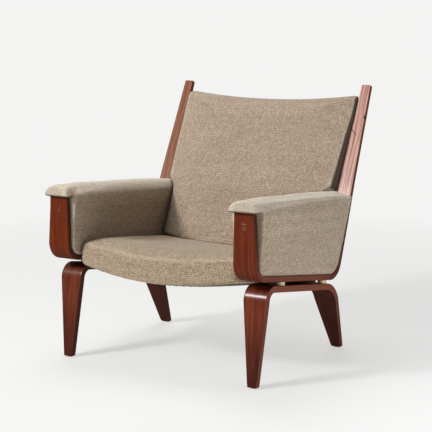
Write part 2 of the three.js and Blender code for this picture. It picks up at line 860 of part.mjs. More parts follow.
const cleatOuter = stripInner - joint;
const cleatInner = cleatOuter - cleatWidth;
const cleatTop = (x) => seatBottom(x) - joint;
const cleatBottom = cleatTop(cleatInner) - cleatHeight;
const cleatShellScrewX = cleatInner + cleatShellScrewInset;
const barMiddle = seatDrop - spacerHeight - 2 * joint - legLaminate / 2;

function cleat(y, tail) {
  const half = cleatLength / 2;
  const topShares = [1, 0.75, 0.5, 0.25, 0];
  const shape = new THREE.Shape([
    new THREE.Vector2(cleatInner, cleatBottom + cleatEase),
    new THREE.Vector2(cleatInner + cleatEase, cleatBottom),
    new THREE.Vector2(cleatOuter, cleatBottom),
    ...topShares.map((share) => {
      const x = lerp(cleatInner, cleatOuter, share);
      return new THREE.Vector2(x, cleatTop(x));
    }),
  ]);
  const block = new THREE.ExtrudeGeometry(shape, { depth: cleatLength + tail, bevelEnabled: false });
  block.rotateX(Math.PI / 2);
  block.translate(0, y + half + tail, 0);
  const sunk = screwHeadHeight + joint;
  const side = cleatSideScrewStart(y);
  const sideHead = rod(
    screwHeadRadius + joint, side.clone().setX(cleatInner - overrun), side.clone().setX(cleatInner + sunk));
  const sideShank = rod(
    screwRadius + joint, side.clone().setX(cleatInner), side.clone().setX(cleatOuter + overrun));
  const up = cleatShellScrewStart(y);
  const upHead = rod(
    screwHeadRadius + joint, up.clone().setZ(cleatBottom - overrun), up.clone().setZ(cleatBottom + sunk));
  const upShank = rod(
    screwRadius + joint, up.clone().setZ(cleatBottom), up.clone().setZ(overrun));
  return cut(block, sideHead, sideShank, upHead, upShank);
}

const cleatSideScrewStart = (y) =>
  new THREE.Vector3(cleatInner, y - cleatScrewOffset, barMiddle);
const cleatShellScrewStart = (y) =>
  new THREE.Vector3(cleatShellScrewX, y + cleatScrewOffset, cleatBottom);

const cleatSideScrew = (y) =>
  screw(cleatSideScrewStart(y), new THREE.Vector3(1, 0, 0), cleatWidth + screwFreeLength);
const shellBite = seatShellThickness * 0.7;
const shellUnderside = seatBottom(cleatShellScrewX);
const cleatShellScrew = (y) => screw(
  cleatShellScrewStart(y), new THREE.Vector3(0, 0, 1), shellUnderside + shellBite - cleatBottom);

function cleatShellHole(y) {
  const start = cleatShellScrewStart(y);
  const end = start.clone().setZ(shellUnderside + shellBite + joint);
  return rod(screwRadius + joint, start, end, roundSides / 2);
}

// The seat's frame on the rails
const seatPlace = new THREE.Vector3(0, 0, railFrontHeight).addScaledVector(offRail, -seatDrop);
const seatTurn = new THREE.Matrix4().makeBasis(new THREE.Vector3(1, 0, 0), alongRail, offRail)
  .setPosition(seatPlace);

function cleatSideHole(y) {
  const start = cleatSideScrewStart(y);
  const end = start.clone().setX(start.x + cleatWidth + screwFreeLength + joint);
  return rod(screwRadius + joint, start, end, roundSides / 2).applyMatrix4(seatTurn);
}

// The height of the seat's top over a point of the floor
function seatTopOver(x, y) {
  let along = y;
  for (let pass = 0; pass < 4; pass += 1) {
    const lift = seatTop(x, along) - seatDrop;
    along = (y - lift * Math.sin(railPitch)) / Math.cos(railPitch);
  }
  const spot = new THREE.Vector3(x, along, seatTop(x, along)).applyMatrix4(seatTurn);
  return spot.z;
}

// Back, in level sections from the seat to its top edge

const backTop = overallHeight - backTopDrop;
const backShellTop = backTop - backSkin;
const backBase = seatTopOver(0, postAt(seatTopOver(0, seatRear)).front) - backSeatLap;
const ledgeHeight = armRearTop - ledgeDrop;
const backSpan = backTop - backBase;

// A level that sinks toward the middle as the top edge does
function backLevel(level, x, half) {
  const blend = smoothstep(level, ledgeHeight, backTop);
  const share = clamp(x / half, -1, 1);
  return level - backTopDip * blend * (1 - share * share);
}

const hollowAt = (x, half) => backHollow * (1 - clamp(x / half, -1, 1) ** 2);
const shellHalf = (height) => postAt(height).inner - backSideClearance;

// One level section: rear face from right to left, then front face from left to right
function backSection(level, options = {}) {
  const { half, rear, draw = 0, narrow = 0 } = options;
  const share = clamp((level - backBase) / backSpan, 0, 1);
  const depth = lerp(backBottomDepth, backTopDepth, share ** 0.85) - draw;
  const upper = (level - ledgeHeight) / (backTop - ledgeHeight);
  const wall = Math.min(half === seatHalf ? backLowerWall : lerp(backLedgeWall, backWallTop, upper), depth);
  const power = lerp(3.4, 8, share);
  const reach = half - narrow;
  const xs = [];
  for (let i = 0; i <= backSteps; i += 1) xs.push(reach * Math.sin((i / backSteps - 0.5) * Math.PI));
  const place = (x, offset) => {
    const z = backLevel(level, x, half);
    return new THREE.Vector3(x, postAt(z).front - offset, z);
  };
  const rearRow = xs.toReversed().map((x) => place(x, rear - hollowAt(x, half)));
  const frontRow = xs.map((x) => {
    const edge = Math.sqrt(1 - Math.abs(x / reach) ** power);
    return place(x, wall + (depth - wall) * edge);
  });
  return [...rearRow, ...frontRow];
}

const lowShares = [0, 0.17, 0.45, 0.8];
const highShares = [0, 0.1, 0.3, 0.5, 0.7, 0.86, 1];
const padRear = -backShellSet() + backShellThickness + joint;

// How far the rear face of the shell lies behind the front faces of the posts
function backShellSet() {
  return postDepth - backCoverThickness - 2 * joint;
}

function backPad() {
  const low = { half: seatHalf, rear: padRear };
  const sections = [
    backSection(backBase, { ...low, draw: backBottomRadius }),
    ...lowShares.slice(1).map((share) => backSection(lerp(backBase, ledgeHeight, share), low)),
    backSection(ledgeHeight, low),
  ];
  const wide = (height, rear) => ({ half: shellHalf(height), rear });
  for (const share of highShares) {
    const level = lerp(ledgeHeight + joint, backShellTop + joint, share);
    sections.push(backSection(level, wide(level, padRear)));
  }
  const hoodRear = joint - postDepth;
  const hoodBase = backShellTop + joint;
  sections.push(backSection(hoodBase, wide(hoodBase, hoodRear)));
  const arcShares = [0, 0.35, 0.7, 0.92, 1];
  for (const share of arcShares) {
    const level = backTop - backTopRadius * (1 - share);
    const round = 1 - Math.sqrt(1 - share * share);
    const draw = Math.min(backTopRadius, backTopDepth - joint) * round;
    const narrow = backCornerRadius * round;
    if (level > hoodBase) {
      sections.push(backSection(level, { ...wide(level, hoodRear + draw / 4), draw, narrow }));
    }
  }
  return cut(loft(sections, true), raisedSeat(), ...grownArms());
}

// The arms moved up and in by the clearance that the back keeps to them
function grownArms() {
  const right = loft(armStations().map(armSection)).translate(-softGap, 0, softGap);
  return [right, outwardCopy(right.clone().scale(-1, 1, 1))];
}

// The seat moved up and back by the clearance that the back keeps to it
const raisedSeat = () => seatBody().translate(0, softGap, softGap).applyMatrix4(seatTurn);

// A layer between the posts that follows the hollow of the back
function backLayer(behind, thickness, top) {
  const levels = [
    ...lowShares.map((share) => lerp(backBase, ledgeHeight, share)),
    ...highShares.map((share) => lerp(ledgeHeight, top, share)),
  ];
  const rows = levels.length - 1;
  const surface = (offset) => (u, v) => {
    const level = levels[Math.round(v * rows)];
    const half = shellHalf(level);
    const x = half * Math.sin((u - 0.5) * Math.PI);
    const z = backLevel(level, x, half);
    return new THREE.Vector3(x, postAt(z).front + offset + hollowAt(x, half), z);
  };
  return sheet(backSteps, rows, surface(behind - thickness), surface(behind));
}

function backShell() {
  const shell = backLayer(backShellSet(), backShellThickness, backShellTop);
  const holes = [backScrewUpper, backScrewLower].flatMap((height) => {
    const right = backScrewHoles(height)[1];
    return [right, right.clone().scale(-1, 1, 1)];
  });
  return cut(shell, raisedSeat(), ...holes.map(outwardCopy));
}

const backCover = () =>
  cut(backLayer(postDepth - joint, backCoverThickness, backShellTop - joint), raisedSeat());

function backScrew(height) {
  return screw(backScrewStart(height), new THREE.Vector3(-1, 0, 0), backScrewLength(height));
}

// The chair

const chair = new THREE.Group();
const body = new THREE.Group();
const seat = new THREE.Group();
seat.applyMatrix4(seatTurn);
body.add(seat);
chair.add(body);

function add(parent, name, geometry, material) {
  const mesh = new THREE.Mesh(geometry, material);
  mesh.name = name;
  parent.add(mesh);
  return mesh;
}

// A piece on the right and its mirror image on the left
function addPair(parent, name, geometry, material) {
  add(parent, `${name}_right`, geometry, material);
  add(parent, `${name}_left`, geometry, material).scale.x = -1;
}

addPair(body, 'side_frame', sideFrame(), wood);
addPair(body, 'leg_frame', legFrame(), wood);
const ends = [
  ['front', 0, spacerFrontPlace, cleatFrontPlace, 0],
  ['rear', -1, spacerRearPlace, cleatRearPlace, cleatTail],
];
for (const [end, foot, spacerPlace, cleatPlace, tail] of ends) {
  addPair(body, `spacer_${end}`, spacer(spacerPlace), brass);
  addPair(body, `frame_bolt_${end}`, frameBolt(spacerPlace), steel);
  addPair(body, `glide_${end}`, glide(foot), nylon);
  addPair(seat, `seat_cleat_${end}`, cleat(cleatPlace, tail), coreWood);
  addPair(seat, `cleat_side_screw_${end}`, cleatSideScrew(cleatPlace), steel);
  addPair(seat, `cleat_shell_screw_${end}`, cleatShellScrew(cleatPlace), steel);
}
addPair(body, 'arm_core', armCore(), coreWood);
addPair(body, 'arm_pad', armPad(), cloth);
addPair(body, 'post_screw', postScrew(), steel);
addPair(body, 'post_plug', postPlug(), wood);
addPair(body, 'back_screw_upper', backScrew(backScrewUpper), brass);
addPair(body, 'back_screw_lower', backScrew(backScrewLower), brass);
add(seat, 'seat_shell', seatShell(), plywood);
add(seat, 'seat_pad', seatPad(), cloth);
add(seat, 'seat_cloth', seatCloth(), dustCloth);
add(body, 'back_shell', backShell(), plywood);
add(body, 'back_pad', backPad(), cloth);
add(body, 'back_cover', backCover(), cloth);

// The origin goes on the floor under the middle of the chair
chair.updateMatrixWorld(true);
const box = new THREE.Box3().setFromObject(chair, true);
body.position.y = -(box.min.y + box.max.y) / 2;
chair.updateMatrixWorld(true);

export default chair;
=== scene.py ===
import math

import bmesh
import bpy
import numpy as np
from bpy.props import FloatProperty, FloatVectorProperty, PointerProperty
from bpy.types import Operator, Panel, PropertyGroup
from mathutils import Matrix, Vector


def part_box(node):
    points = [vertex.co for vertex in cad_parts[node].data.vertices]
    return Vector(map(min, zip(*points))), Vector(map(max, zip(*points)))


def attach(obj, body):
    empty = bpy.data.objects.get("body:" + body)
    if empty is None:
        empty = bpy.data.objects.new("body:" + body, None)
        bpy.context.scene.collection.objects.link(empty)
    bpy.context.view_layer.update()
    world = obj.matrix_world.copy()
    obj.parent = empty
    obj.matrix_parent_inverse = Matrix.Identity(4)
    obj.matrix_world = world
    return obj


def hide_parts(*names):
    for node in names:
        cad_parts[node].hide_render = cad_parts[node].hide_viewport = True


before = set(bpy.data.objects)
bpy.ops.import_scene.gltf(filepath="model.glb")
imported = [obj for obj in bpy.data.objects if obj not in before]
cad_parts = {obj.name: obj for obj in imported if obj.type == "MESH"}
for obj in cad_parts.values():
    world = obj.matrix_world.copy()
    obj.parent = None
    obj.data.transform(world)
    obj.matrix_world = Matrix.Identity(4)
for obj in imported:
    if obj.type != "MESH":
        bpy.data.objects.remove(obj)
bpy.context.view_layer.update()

bl_info = {
    "name": "Bent-frame lounge chair",
    "version": (1, 0, 0),
    "blender": (4, 5, 0),
    "location": "View3D > Sidebar > Chair",
    "description": "Builds the wood, upholstery and fittings of a lounge chair round its packed frame",
    "category": "Object",
}

# Lengths are in metres. Places along the chair are first counted from the front face of the front
# posts, and POST_FACE moves them to the frame's own origin, under the middle of the chair.
POST_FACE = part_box("side_frame_right")[0].y
HALF_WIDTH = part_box("side_frame_right")[1].x
OVERALL_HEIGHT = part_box("side_frame_right")[1].z
JOINT = 0.0003

RAIL_PITCH = math.radians(8.9)
RAIL_UP = (0, math.sin(RAIL_PITCH), math.cos(RAIL_PITCH))
RAIL_BACK = (0, math.cos(RAIL_PITCH), -math.sin(RAIL_PITCH))
RAIL_FRONT_HEIGHT = 0.2934
SIDE_FRAME_RUN = 0.477
FRONT_POST_HEIGHT = 0.470
SWEEP_HEIGHT = 0.464
LOWER_LEAN = math.radians(21.3)
UPPER_LEAN = math.radians(24.85)
SIDE_BENDS = (0.053, 0.061, 1.5)
LEG_BENDS = (0.042, 0.092)
FRONT_FOOT, FRONT_LEG, REAR_LEG, REAR_FOOT = 0.034, 0.057, 0.459, 0.554
FOOT_HEIGHT = 0.0028

# Inset from the outer width of the chair and width of the strip, at the ends of runs and bends
SIDE_TAPER = ((0, 0.009, 0.058), (1, 0, 0.070), (3, 0, 0.070), (4, 0, 0.064), (5, 0.0006, 0.048), (7, 0.010, 0.028))
LEG_TAPER = ((0, 0.0188, 0.028), (1, 0, 0.070), (4, 0, 0.070), (5, 0.0188, 0.028))

SPACER_HEIGHT = 0.0092
PLUG_DROP = 0.040
PLUG_BORE = (0.0078, 0.0046)  # radius and depth
BOLT_BORE = (0.0078, 0.0051)
SCREW_BORE = (0.0053, 0.003)

SEAT_HALF = 0.2603
SEAT_FRONT = 0.036
SEAT_REAR = 0.489
SEAT_DROP = 0.008
SEAT_BOW = 0.018  # how far the middle of the front stands forward
SEAT_DISH = 0.031  # hollow of the underside from side to side, which follows a power of the place
SEAT_DISH_POWER = 1.9
SEAT_PUFF, BACK_PUFF, ARM_PUFF = 0.0045, 0.005, 0.004  # the furthest that the filling moves a cover
COVER_DRAWN, ARM_DRAWN = 0.0008, 0.0004  # how far a skin is drawn in before it is filled
BOARD_DRAWN, BLOCK_DRAWN = 0.003, 0.006
ARM_VOXEL = 0.0036
NOSE_UNDERSIDE = 0.4712
PANEL_DEPTH = 0.0152  # from the back posts to the middle of the cloth panel, at its sides
PANEL_BOW, PANEL_DIP = 0.010, 0.021
CLOTH_HALF, CLOTH_REAR, CLOTH_RIM = 0.2263, 0.455, 0.034

TURN_STEP, RUN_STEP = math.radians(2), 0.012
QUARTER = (0, 30, 60, 90)  # degrees round an eased edge
SHARP_STRIP, SHARP_FITTING = math.radians(42), math.radians(35)
CLOTH_FRAMES = 20
NOISE_WAVES = 14
WIRE_SIDES = 5

ORIGIN = (0.0, 0.0, 0.0)
UP, DOWN, OUT, IN, FORWARD, BACK = (0, 0, 1), (0, 0, -1), (1, 0, 0), (-1, 0, 0), (0, -1, 0), (0, 1, 0)
SIDES, ENDS = ("right", "left"), ("front", "rear")


def srgb(red, green, blue):
    """A screen colour, 0 to 255, as the linear values that materials use."""
    shares = [value / 255 for value in (red, green, blue)]
    return tuple(s / 12.92 if s <= 0.04045 else ((s + 0.055) / 1.055) ** 2.4 for s in shares)


def tinted(colour, factor):
    """A colour times a number, or with each part times its own."""
    factors = factor if isinstance(factor, tuple) else (factor,) * 3
    return tuple(min(1, part * share) for part, share in zip(colour, factors))


def colour_setting(name, description, *screen):
    return FloatVectorProperty(
        name=name, description=description, default=srgb(*screen), subtype="COLOR", size=3, min=0, max=1)


def length_setting(name, description, default):
    return FloatProperty(
        name=name, description=description, default=default, unit="LENGTH", subtype="DISTANCE", min=0, precision=5)


def number_setting(name, description, default):
    return FloatProperty(name=name, description=description, default=default)


class ChairWoodSettings(PropertyGroup):
    side_thickness: length_setting("Side thickness", "Thickness of the side frame strips", 0.015)
    leg_thickness: length_setting("Leg thickness", "Thickness of the leg frame strips", 0.0182)
    eased_edge: length_setting("Eased edge", "Radius of the rounded edges of the strips", 0.0016)
    veneer: length_setting("Veneer", "Thickness of one layer of the laminate", 0.0015)
    light: colour_setting("Light grain", "Lightest grain of the side frames", 140, 66, 30)
    middle: colour_setting("Middle grain", "Main colour of the side frames", 108, 44, 19)
    dark: colour_setting("Dark grain", "Darkest grain of the side frames", 76, 28, 14)
    leg_light: colour_setting("Light leg grain", "Lightest grain of the leg frames", 122, 58, 38)
    leg_middle: colour_setting("Middle leg grain", "Main colour of the leg frames", 124, 54, 28)
    leg_dark: colour_setting("Dark leg grain", "Darkest grain of the leg frames", 58, 20, 15)
    edge: colour_setting("Laminate edge", "Veneers seen on the narrow sides", 136, 82, 64)
    worn: colour_setting("Worn edge", "Wood where the finish has rubbed off", 165, 100, 72)


class ChairClothSettings(PropertyGroup):
    voxel: length_setting("Mesh size", "Mesh size of the remeshed cushions", 0.005)
    pressure: number_setting("Filling pressure", "Pressure that fills the covers", 4.0)
    yarn: length_setting("Yarn", "Distance between yarns of the cloth", 0.0029)
    light: colour_setting("Light yarn", "Light yarns of the cloth", 216, 200, 180)
    middle: colour_setting("Middle yarn", "Main colour of the cloth", 186, 168, 147)
    dark: colour_setting("Dark yarn", "Shaded yarns of the cloth", 134, 115, 96)
    dust: colour_setting("Dust cloth", "Cloth under the seat", 122, 108, 66)


class ChairFittingSettings(PropertyGroup):
    brass: colour_setting("Brass", "Spacers and back screws", 232, 214, 172)
    steel: colour_setting("Steel", "Bolts and hidden screws", 150, 152, 156)
    staple_spacing: length_setting("Staple spacing", "Distance between staples of the dust cloth", 0.022)
    stitch_spacing: length_setting("Stitch spacing", "Distance between stitches of the back panel", 0.007)


class ChairStageSettings(PropertyGroup):
    paper: colour_setting("Backdrop", "Pale floor and backdrop", 243, 243, 242)
    key_power: number_setting("Main light", "Power of the light in front", 119.0)
    left_power: number_setting("Left light", "Power of the soft light at the front left", 31.0)
    top_power: number_setting("Top light", "Power of the light overhead", 57.0)
    side_power: number_setting("Side light", "Power of the low light on the right", 6.4)
    room: number_setting("Room light", "Strength of the even light of the room", 0.13)
    floor_glow: number_setting("Floor glow", "Light that the floor gives back to the chair", 0.95)


# Objects and meshes


def linked(name, data):
    made = bpy.data.objects.new(name, data)
    bpy.context.scene.collection.objects.link(made)
    return made


def from_shell(name, shell):
    """An object from a bmesh, which isn't needed afterwards."""
    mesh = bpy.data.meshes.new(name)
    shell.to_mesh(mesh)
    shell.free()
    return linked(name, mesh)


def mesh_object(name, points, faces, edges=()):
    mesh = bpy.data.meshes.new(name)
    mesh.from_pydata([tuple(point) for point in points], edges, faces)
    mesh.update()
    mesh.shade_smooth()
    return linked(name, mesh)


def outward(made):
    shell = bmesh.new()
    shell.from_mesh(made.data)
    bmesh.ops.recalc_face_normals(shell, faces=shell.faces)
    shell.to_mesh(made.data)
    shell.free()
    return made


def mirrored(source, name):
    """The left twin of a finished right piece."""
    twin = source.copy()
    twin.data = source.data.copy()
    twin.name = twin.data.name = name
    twin.data.transform(Matrix.Scale(-1, 4, (1, 0, 0)))
    twin.data.flip_normals()
    bpy.context.scene.collection.objects.link(twin)
    return twin


def settled(made):
    """The object's evaluated shape as its plain mesh."""
    graph = bpy.context.evaluated_depsgraph_get()
    graph.update()
    mesh = bpy.data.meshes.new_from_object(made.evaluated_get(graph))
    made.modifiers.clear()
    old, made.data = made.data, mesh
    bpy.data.meshes.remove(old)
    mesh.name = made.name
    return made


def carved(made, cutters):
    """Cuts other objects out of this one and removes them."""
    for cutter in cutters:
        cut = made.modifiers.new("cut", "BOOLEAN")
        cut.operation, cut.solver, cut.object = "DIFFERENCE", "EXACT", cutter
    settled(made)
    for cutter in cutters:
        bpy.data.objects.remove(cutter)
    return made


def bored(made, holes):
    """Cuts round holes: each is (start, end, radius)."""
    tools = []
    for start, end, radius in holes:
        start, end = Vector(start), Vector(end)
        place = Matrix.Translation((start + end) / 2) @ (end - start).to_track_quat("Z", "Y").to_matrix().to_4x4()
        tool = bmesh.new()
        bmesh.ops.create_cone(tool, cap_ends=True, segments=40, radius1=radius, radius2=radius,
                              depth=(end - start).length, matrix=place)
        tools.append(from_shell("bore", tool))
    return carved(made, tools)


def coordinates(mesh, field="co"):
    values = np.empty(len(mesh.vertices) * 3)
    mesh.vertices.foreach_get(field, values)
    return values.reshape(-1, 3)


def place_points(mesh, points):
    mesh.vertices.foreach_set("co", np.ascontiguousarray(points, dtype=np.float32).ravel())
    mesh.update()


def corner_points(mesh):
    """Which point each corner of the faces lies on."""
    corner = np.empty(len(mesh.loops), dtype=np.int64)
    mesh.loops.foreach_get("vertex_index", corner)
    return corner


def keep(mesh, name, columns):
    """Keeps three numbers for each point, for the materials."""
    kept = mesh.attributes.new(name, "FLOAT_VECTOR", "POINT")
    kept.data.foreach_set("vector", np.asarray(columns).astype(np.float32).ravel())


def keep_weave(mesh, flat):
    """Keeps the place of each corner of the faces on the flat cloth."""
    mesh.uv_layers.new(name="Weave").data.foreach_set("uv", flat.astype(np.float32).ravel())


def box_middle(node):
    low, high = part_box(node)
    return (low + high) / 2


def finish_piece(made, material, slot, *nodes, padded=None):
    made.data.materials.clear()
    made.data.materials.append(material)
    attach(made, "root")
    if nodes:
        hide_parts(*nodes)
    return made


# Lines and strips


def unit(vector):
    return vector / np.linalg.norm(vector)


def left_of(direction):
    return np.array((-direction[1], direction[0]))


def bent_line(corners, radii):
    """Straight runs joined by arcs: points, directions, lengths from the start, and where runs and bends meet."""
    corners = [np.array(corner) for corner in corners]
    runs = [unit(after - before) for before, after in zip(corners, corners[1:])]
    points, directions, joints = [corners[0]], [runs[0]], [0]

    def straight(end, direction):
        start = points[-1]
        steps = max(1, round(np.linalg.norm(end - start) / RUN_STEP))
        for k in range(1, steps + 1):
            points.append(start + (end - start) * k / steps)
            directions.append(direction)
        joints.append(len(points) - 1)

    for radius, corner, before, after in zip(radii, corners[1:], runs, runs[1:]):
        turn = math.atan2(before[0] * after[1] - before[1] * after[0], before @ after)
        side = math.copysign(1, turn)
        start = corner - before * radius * math.tan(abs(turn) / 2)
        straight(start, before)
        centre = start + left_of(before) * side * radius
        steps = max(4, math.ceil(abs(turn) / TURN_STEP))
        for k in range(1, steps + 1):
            cos, sin = math.cos(turn * k / steps), math.sin(turn * k / steps)
            direction = np.array((before[0] * cos - before[1] * sin, before[0] * sin + before[1] * cos))
            points.append(centre - left_of(direction) * side * radius)
            directions.append(direction)
        joints.append(len(points) - 1)
    straight(corners[-1], runs[-1])
    points, directions = np.array(points), np.array(directions)
    lengths = np.concatenate(([0], np.cumsum(np.linalg.norm(np.diff(points, axis=0), axis=1))))
    return {"points": points, "directions": directions, "lengths": lengths, "joints": lengths[joints]}


def rail_height(place):
    return RAIL_FRONT_HEIGHT - math.tan(RAIL_PITCH) * place


def side_line(thickness):
    rear_corner = rail_height(SIDE_FRAME_RUN)
    sweep = SIDE_FRAME_RUN + math.tan(LOWER_LEAN) * (SWEEP_HEIGHT - rear_corner)
    top = OVERALL_HEIGHT - thickness * math.sin(UPPER_LEAN)
    back_top = sweep + math.tan(UPPER_LEAN) * (top - SWEEP_HEIGHT)
    corners = [(0, FRONT_POST_HEIGHT), (0, RAIL_FRONT_HEIGHT), (SIDE_FRAME_RUN, rear_corner),
               (sweep, SWEEP_HEIGHT), (back_top, top)]
    return bent_line(corners, SIDE_BENDS)


def leg_line():
    drop = (SPACER_HEIGHT + 2 * JOINT) / math.cos(RAIL_PITCH)
    corners = [(FRONT_FOOT, FOOT_HEIGHT), (FRONT_LEG, rail_height(FRONT_LEG) - drop),
               (REAR_LEG, rail_height(REAR_LEG) - drop), (REAR_FOOT, FOOT_HEIGHT)]
    return bent_line(corners, LEG_BENDS)


def taper(line, table, length):
    joints, insets, widths = zip(*table)
    places = line["joints"][list(joints)]
    inset, width = np.interp(length, places, insets), np.interp(length, places, widths)
    return HALF_WIDTH - inset - width, HALF_WIDTH - inset


def strip_section(inner, outer, thickness, ease, drawn):
    """A rounded rectangle of (place across, depth) points, drawn in by a length at the ends of a strip."""
    low, high = drawn, thickness - drawn
    inner, outer = inner + drawn, outer - drawn
    ease = max(ease - drawn, 0.0003)
    support = min(0.0035, (high - low) / 2 - ease)
    ring = []
    for index, (x, depth) in enumerate(((outer, low), (outer, high), (inner, high), (inner, low))):
        to_x, to_depth = (1 if x == outer else -1), (1 if depth == high else -1)
        angles = [math.radians(90 * (index - 1) + a) for a in QUARTER]
        arc = [(x - to_x * ease + ease * math.cos(a), depth - to_depth * ease + ease * math.sin(a)) for a in angles]
        ends = [(x - to_x * support, depth), (x, depth - to_depth * support)]
        before, after = ends if index % 2 == 0 else reversed(ends)
        ring += [before, *arc, after]
    return ring


def strip_rings(line, table, thickness, ease, inward, level_ends):
    """Rings of a laminated strip, with rounded ends."""
    last = len(line["lengths"]) - 1
    stations = []
    for i, (point, direction, length) in enumerate(zip(line["points"], line["directions"], line["lengths"])):
        if i in (0, last):
            sign = 1 if i == 0 else -1
            ends = [(point + direction * sign * ease * (1 - math.cos(math.radians(a))),
                     ease * (1 - math.sin(math.radians(a)))) for a in QUARTER]
            ends.append((point + direction * sign * 0.004, 0.0))
            stations += [(spot, direction, length, drawn, True) for spot, drawn in ends[::sign]]
        else:
            stations.append((point, direction, length, 0.0, False))
    rings = []
    for point, direction, length, drawn, is_end in stations:
        normal = left_of(direction) * inward
        ring = []
        for x, depth in strip_section(*taper(line, table, length), thickness, ease, drawn):
            slide = -normal[1] * depth / direction[1] if level_ends and is_end else 0
            spot = point + normal * depth + direction * slide
            ring.append((x, spot[0] + POST_FACE, spot[1]))
        rings.append(ring)
    return rings


def loft(name, rings):
    """A closed skin over rings of points, with flat ends."""
    size = len(rings[0])
    faces = []
    for k in range(len(rings) - 1):
        for i in range(size):
            a, b = k * size + i, k * size + (i + 1) % size
            faces.append((a, b, b + size, a + size))
    faces.append(tuple(reversed(range(size))))
    faces.append(tuple(range((len(rings) - 1) * size, len(rings) * size)))
    return outward(mesh_object(name, [point for ring in rings for point in ring], faces))


def strip_marks(mesh, line, table, thickness, inward):
    """Keeps the place along, across and into the strip, and how near an edge is, for the wood's grain."""
    co = coordinates(mesh)
    flat = np.column_stack((co[:, 1] - POST_FACE, co[:, 2]))
    starts = line["points"][:-1]
    runs = line["points"][1:] - starts
    sizes = np.einsum("ij,ij->i", runs, runs)
    share = np.clip(np.einsum("vij,ij->vi", flat[:, None] - starts[None], runs) / sizes, 0, 1)
    gap = flat[:, None] - (starts[None] + share[..., None] * runs[None])
    best = np.argmin(np.einsum("vij,vij->vi", gap, gap), axis=1)
    rows = np.arange(len(flat))
    run = runs[best] / np.sqrt(sizes[best])[:, None]
    along = line["lengths"][best] + share[rows, best] * np.sqrt(sizes[best])
    normal = np.column_stack((-run[:, 1], run[:, 0])) * inward
    depth = np.einsum("ij,ij->i", gap[rows, best], normal)
    across = np.abs(co[:, 0])
    inner, outer = taper(line, table, along)
    from_side = np.clip(np.minimum(across - inner, outer - across), 0, None)
    from_face = np.clip(np.minimum(depth, thickness - depth), 0, None)
    narrow = np.clip((from_face - from_side) / 0.001 + 0.5, 0, 1)
    rim = np.clip(1 - np.maximum(from_side, from_face) / 0.0016, 0, 1)
    keep(mesh, "Strip", np.column_stack((along, across, depth)))
    keep(mesh, "Edges", np.column_stack((narrow, rim, np.zeros(len(rim)))))


def strip_pair(name, line, table, thickness, inward, level_ends, holes):
    """A bored strip on the right and its twin on the left."""
    rings = strip_rings(line, table, thickness, bpy.context.scene.chair_wood.eased_edge, inward, level_ends)
    right = bored(loft(f"{name}_right", rings), holes)
    right.data.shade_smooth()
    strip_marks(right.data, line, table, thickness, inward)
    right.data.set_sharp_from_angle(angle=SHARP_STRIP)
    return right, mirrored(right, f"{name}_left")


# Materials


class Tree:
    """Short words for placing and joining nodes."""

    def __init__(self, tree):
        self.tree = tree

    def node(self, kind, inputs=None, **settings):
        made = self.tree.nodes.new(kind if "Node" in kind else "ShaderNode" + kind)
        for key, value in settings.items():
            setattr(made, key, value)
        for key, value in (inputs or {}).items():
            self.feed(made.inputs[key], value)
        return made

    def feed(self, socket, value):
        if isinstance(value, bpy.types.Node):
            value = value.outputs[0]
        if isinstance(value, bpy.types.NodeSocket):
            self.tree.links.new(value, socket)
        else:
            socket.default_value = (*value, 1) if socket.type == "RGBA" else value

    def maths(self, operation, *values, clamp=False):
        return self.node("Math", dict(enumerate(values)), operation=operation, use_clamp=clamp).outputs[0]

    def times(self, first, second):
        return self.maths("MULTIPLY", first, second)

    def times_plus(self, value, factor, added):
        return self.maths("MULTIPLY_ADD", value, factor, added)

    def vector(self, operation, *values):
        made = self.node("VectorMath", dict(enumerate(values)), operation=operation)
        return made.outputs["Value" if operation in ("LENGTH", "DOT_PRODUCT") else "Vector"]

    def scaled(self, vector, factor):
        return self.node("VectorMath", {0: vector, "Scale": factor}, operation="SCALE").outputs["Vector"]

    def parts(self, vector):
        return self.node("SeparateXYZ", {"Vector": vector}).outputs

    def place(self):
        return self.node("TexCoord").outputs["Object"]

    def kept(self, name):
        return self.node("Attribute", attribute_name=name).outputs["Vector"]

    def noise(self, place, scale, detail=2.0, roughness=0.5, output="Fac"):
        """The scale is a number, or one for each direction."""
        if isinstance(scale, tuple):
            place, scale = self.vector("MULTIPLY", place, scale), 1.0
        return self.node("TexNoise", {
            "Vector": place, "Scale": scale, "Detail": detail, "Roughness": roughness}).outputs[output]

    def wandered(self, place, scale, reach):
        """A place on flat cloth or wood, moved about a little."""
        drift = self.vector("SUBTRACT", self.noise(place, scale, output="Color"), (0.5, 0.5, 0.5))
        return self.vector("ADD", place, self.vector("MULTIPLY", drift, (reach, reach, 0.0)))

    def white_noise(self, dimensions, **inputs):
        return self.node("TexWhiteNoise", inputs, noise_dimensions=dimensions).outputs["Value"]

    def ramp(self, value, *stops):
        made = self.node("ValToRGB", {"Fac": value})
        elements = made.color_ramp.elements
        while len(elements) < len(stops):
            elements.new(0.5)
        for element, (place, tone) in zip(elements, stops):
            element.position, element.color = place, (*tone, 1)
        return made.outputs["Color"]

    def mixed(self, share, first, second, blend="MIX"):
        return self.node("Mix", {"Factor": share, 6: first, 7: second}, data_type="RGBA", blend_type=blend).outputs[2]

    def spread(self, value, low, high, to_low=0.0, to_high=1.0):
        return self.node("MapRange", {
            "Value": value, "From Min": low, "From Max": high, "To Min": to_low, "To Max": to_high}).outputs["Result"]

    def group(self, made_once, inputs):
        return self.node("Group", inputs, node_tree=made_once()).outputs

    def surface(self, base, roughness, bump=(), more=()):
        """Feeds the shader. The bump is (height, strength, distance)."""
        inputs = {"Base Color": base, "Roughness": roughness, **dict(more)}
        if bump:
            inputs["Normal"] = self.node("Bump", dict(zip(("Height", "Strength", "Distance"), bump)))
        for key, value in inputs.items():
            self.feed(self.shader.inputs[key], value)
        return self.material


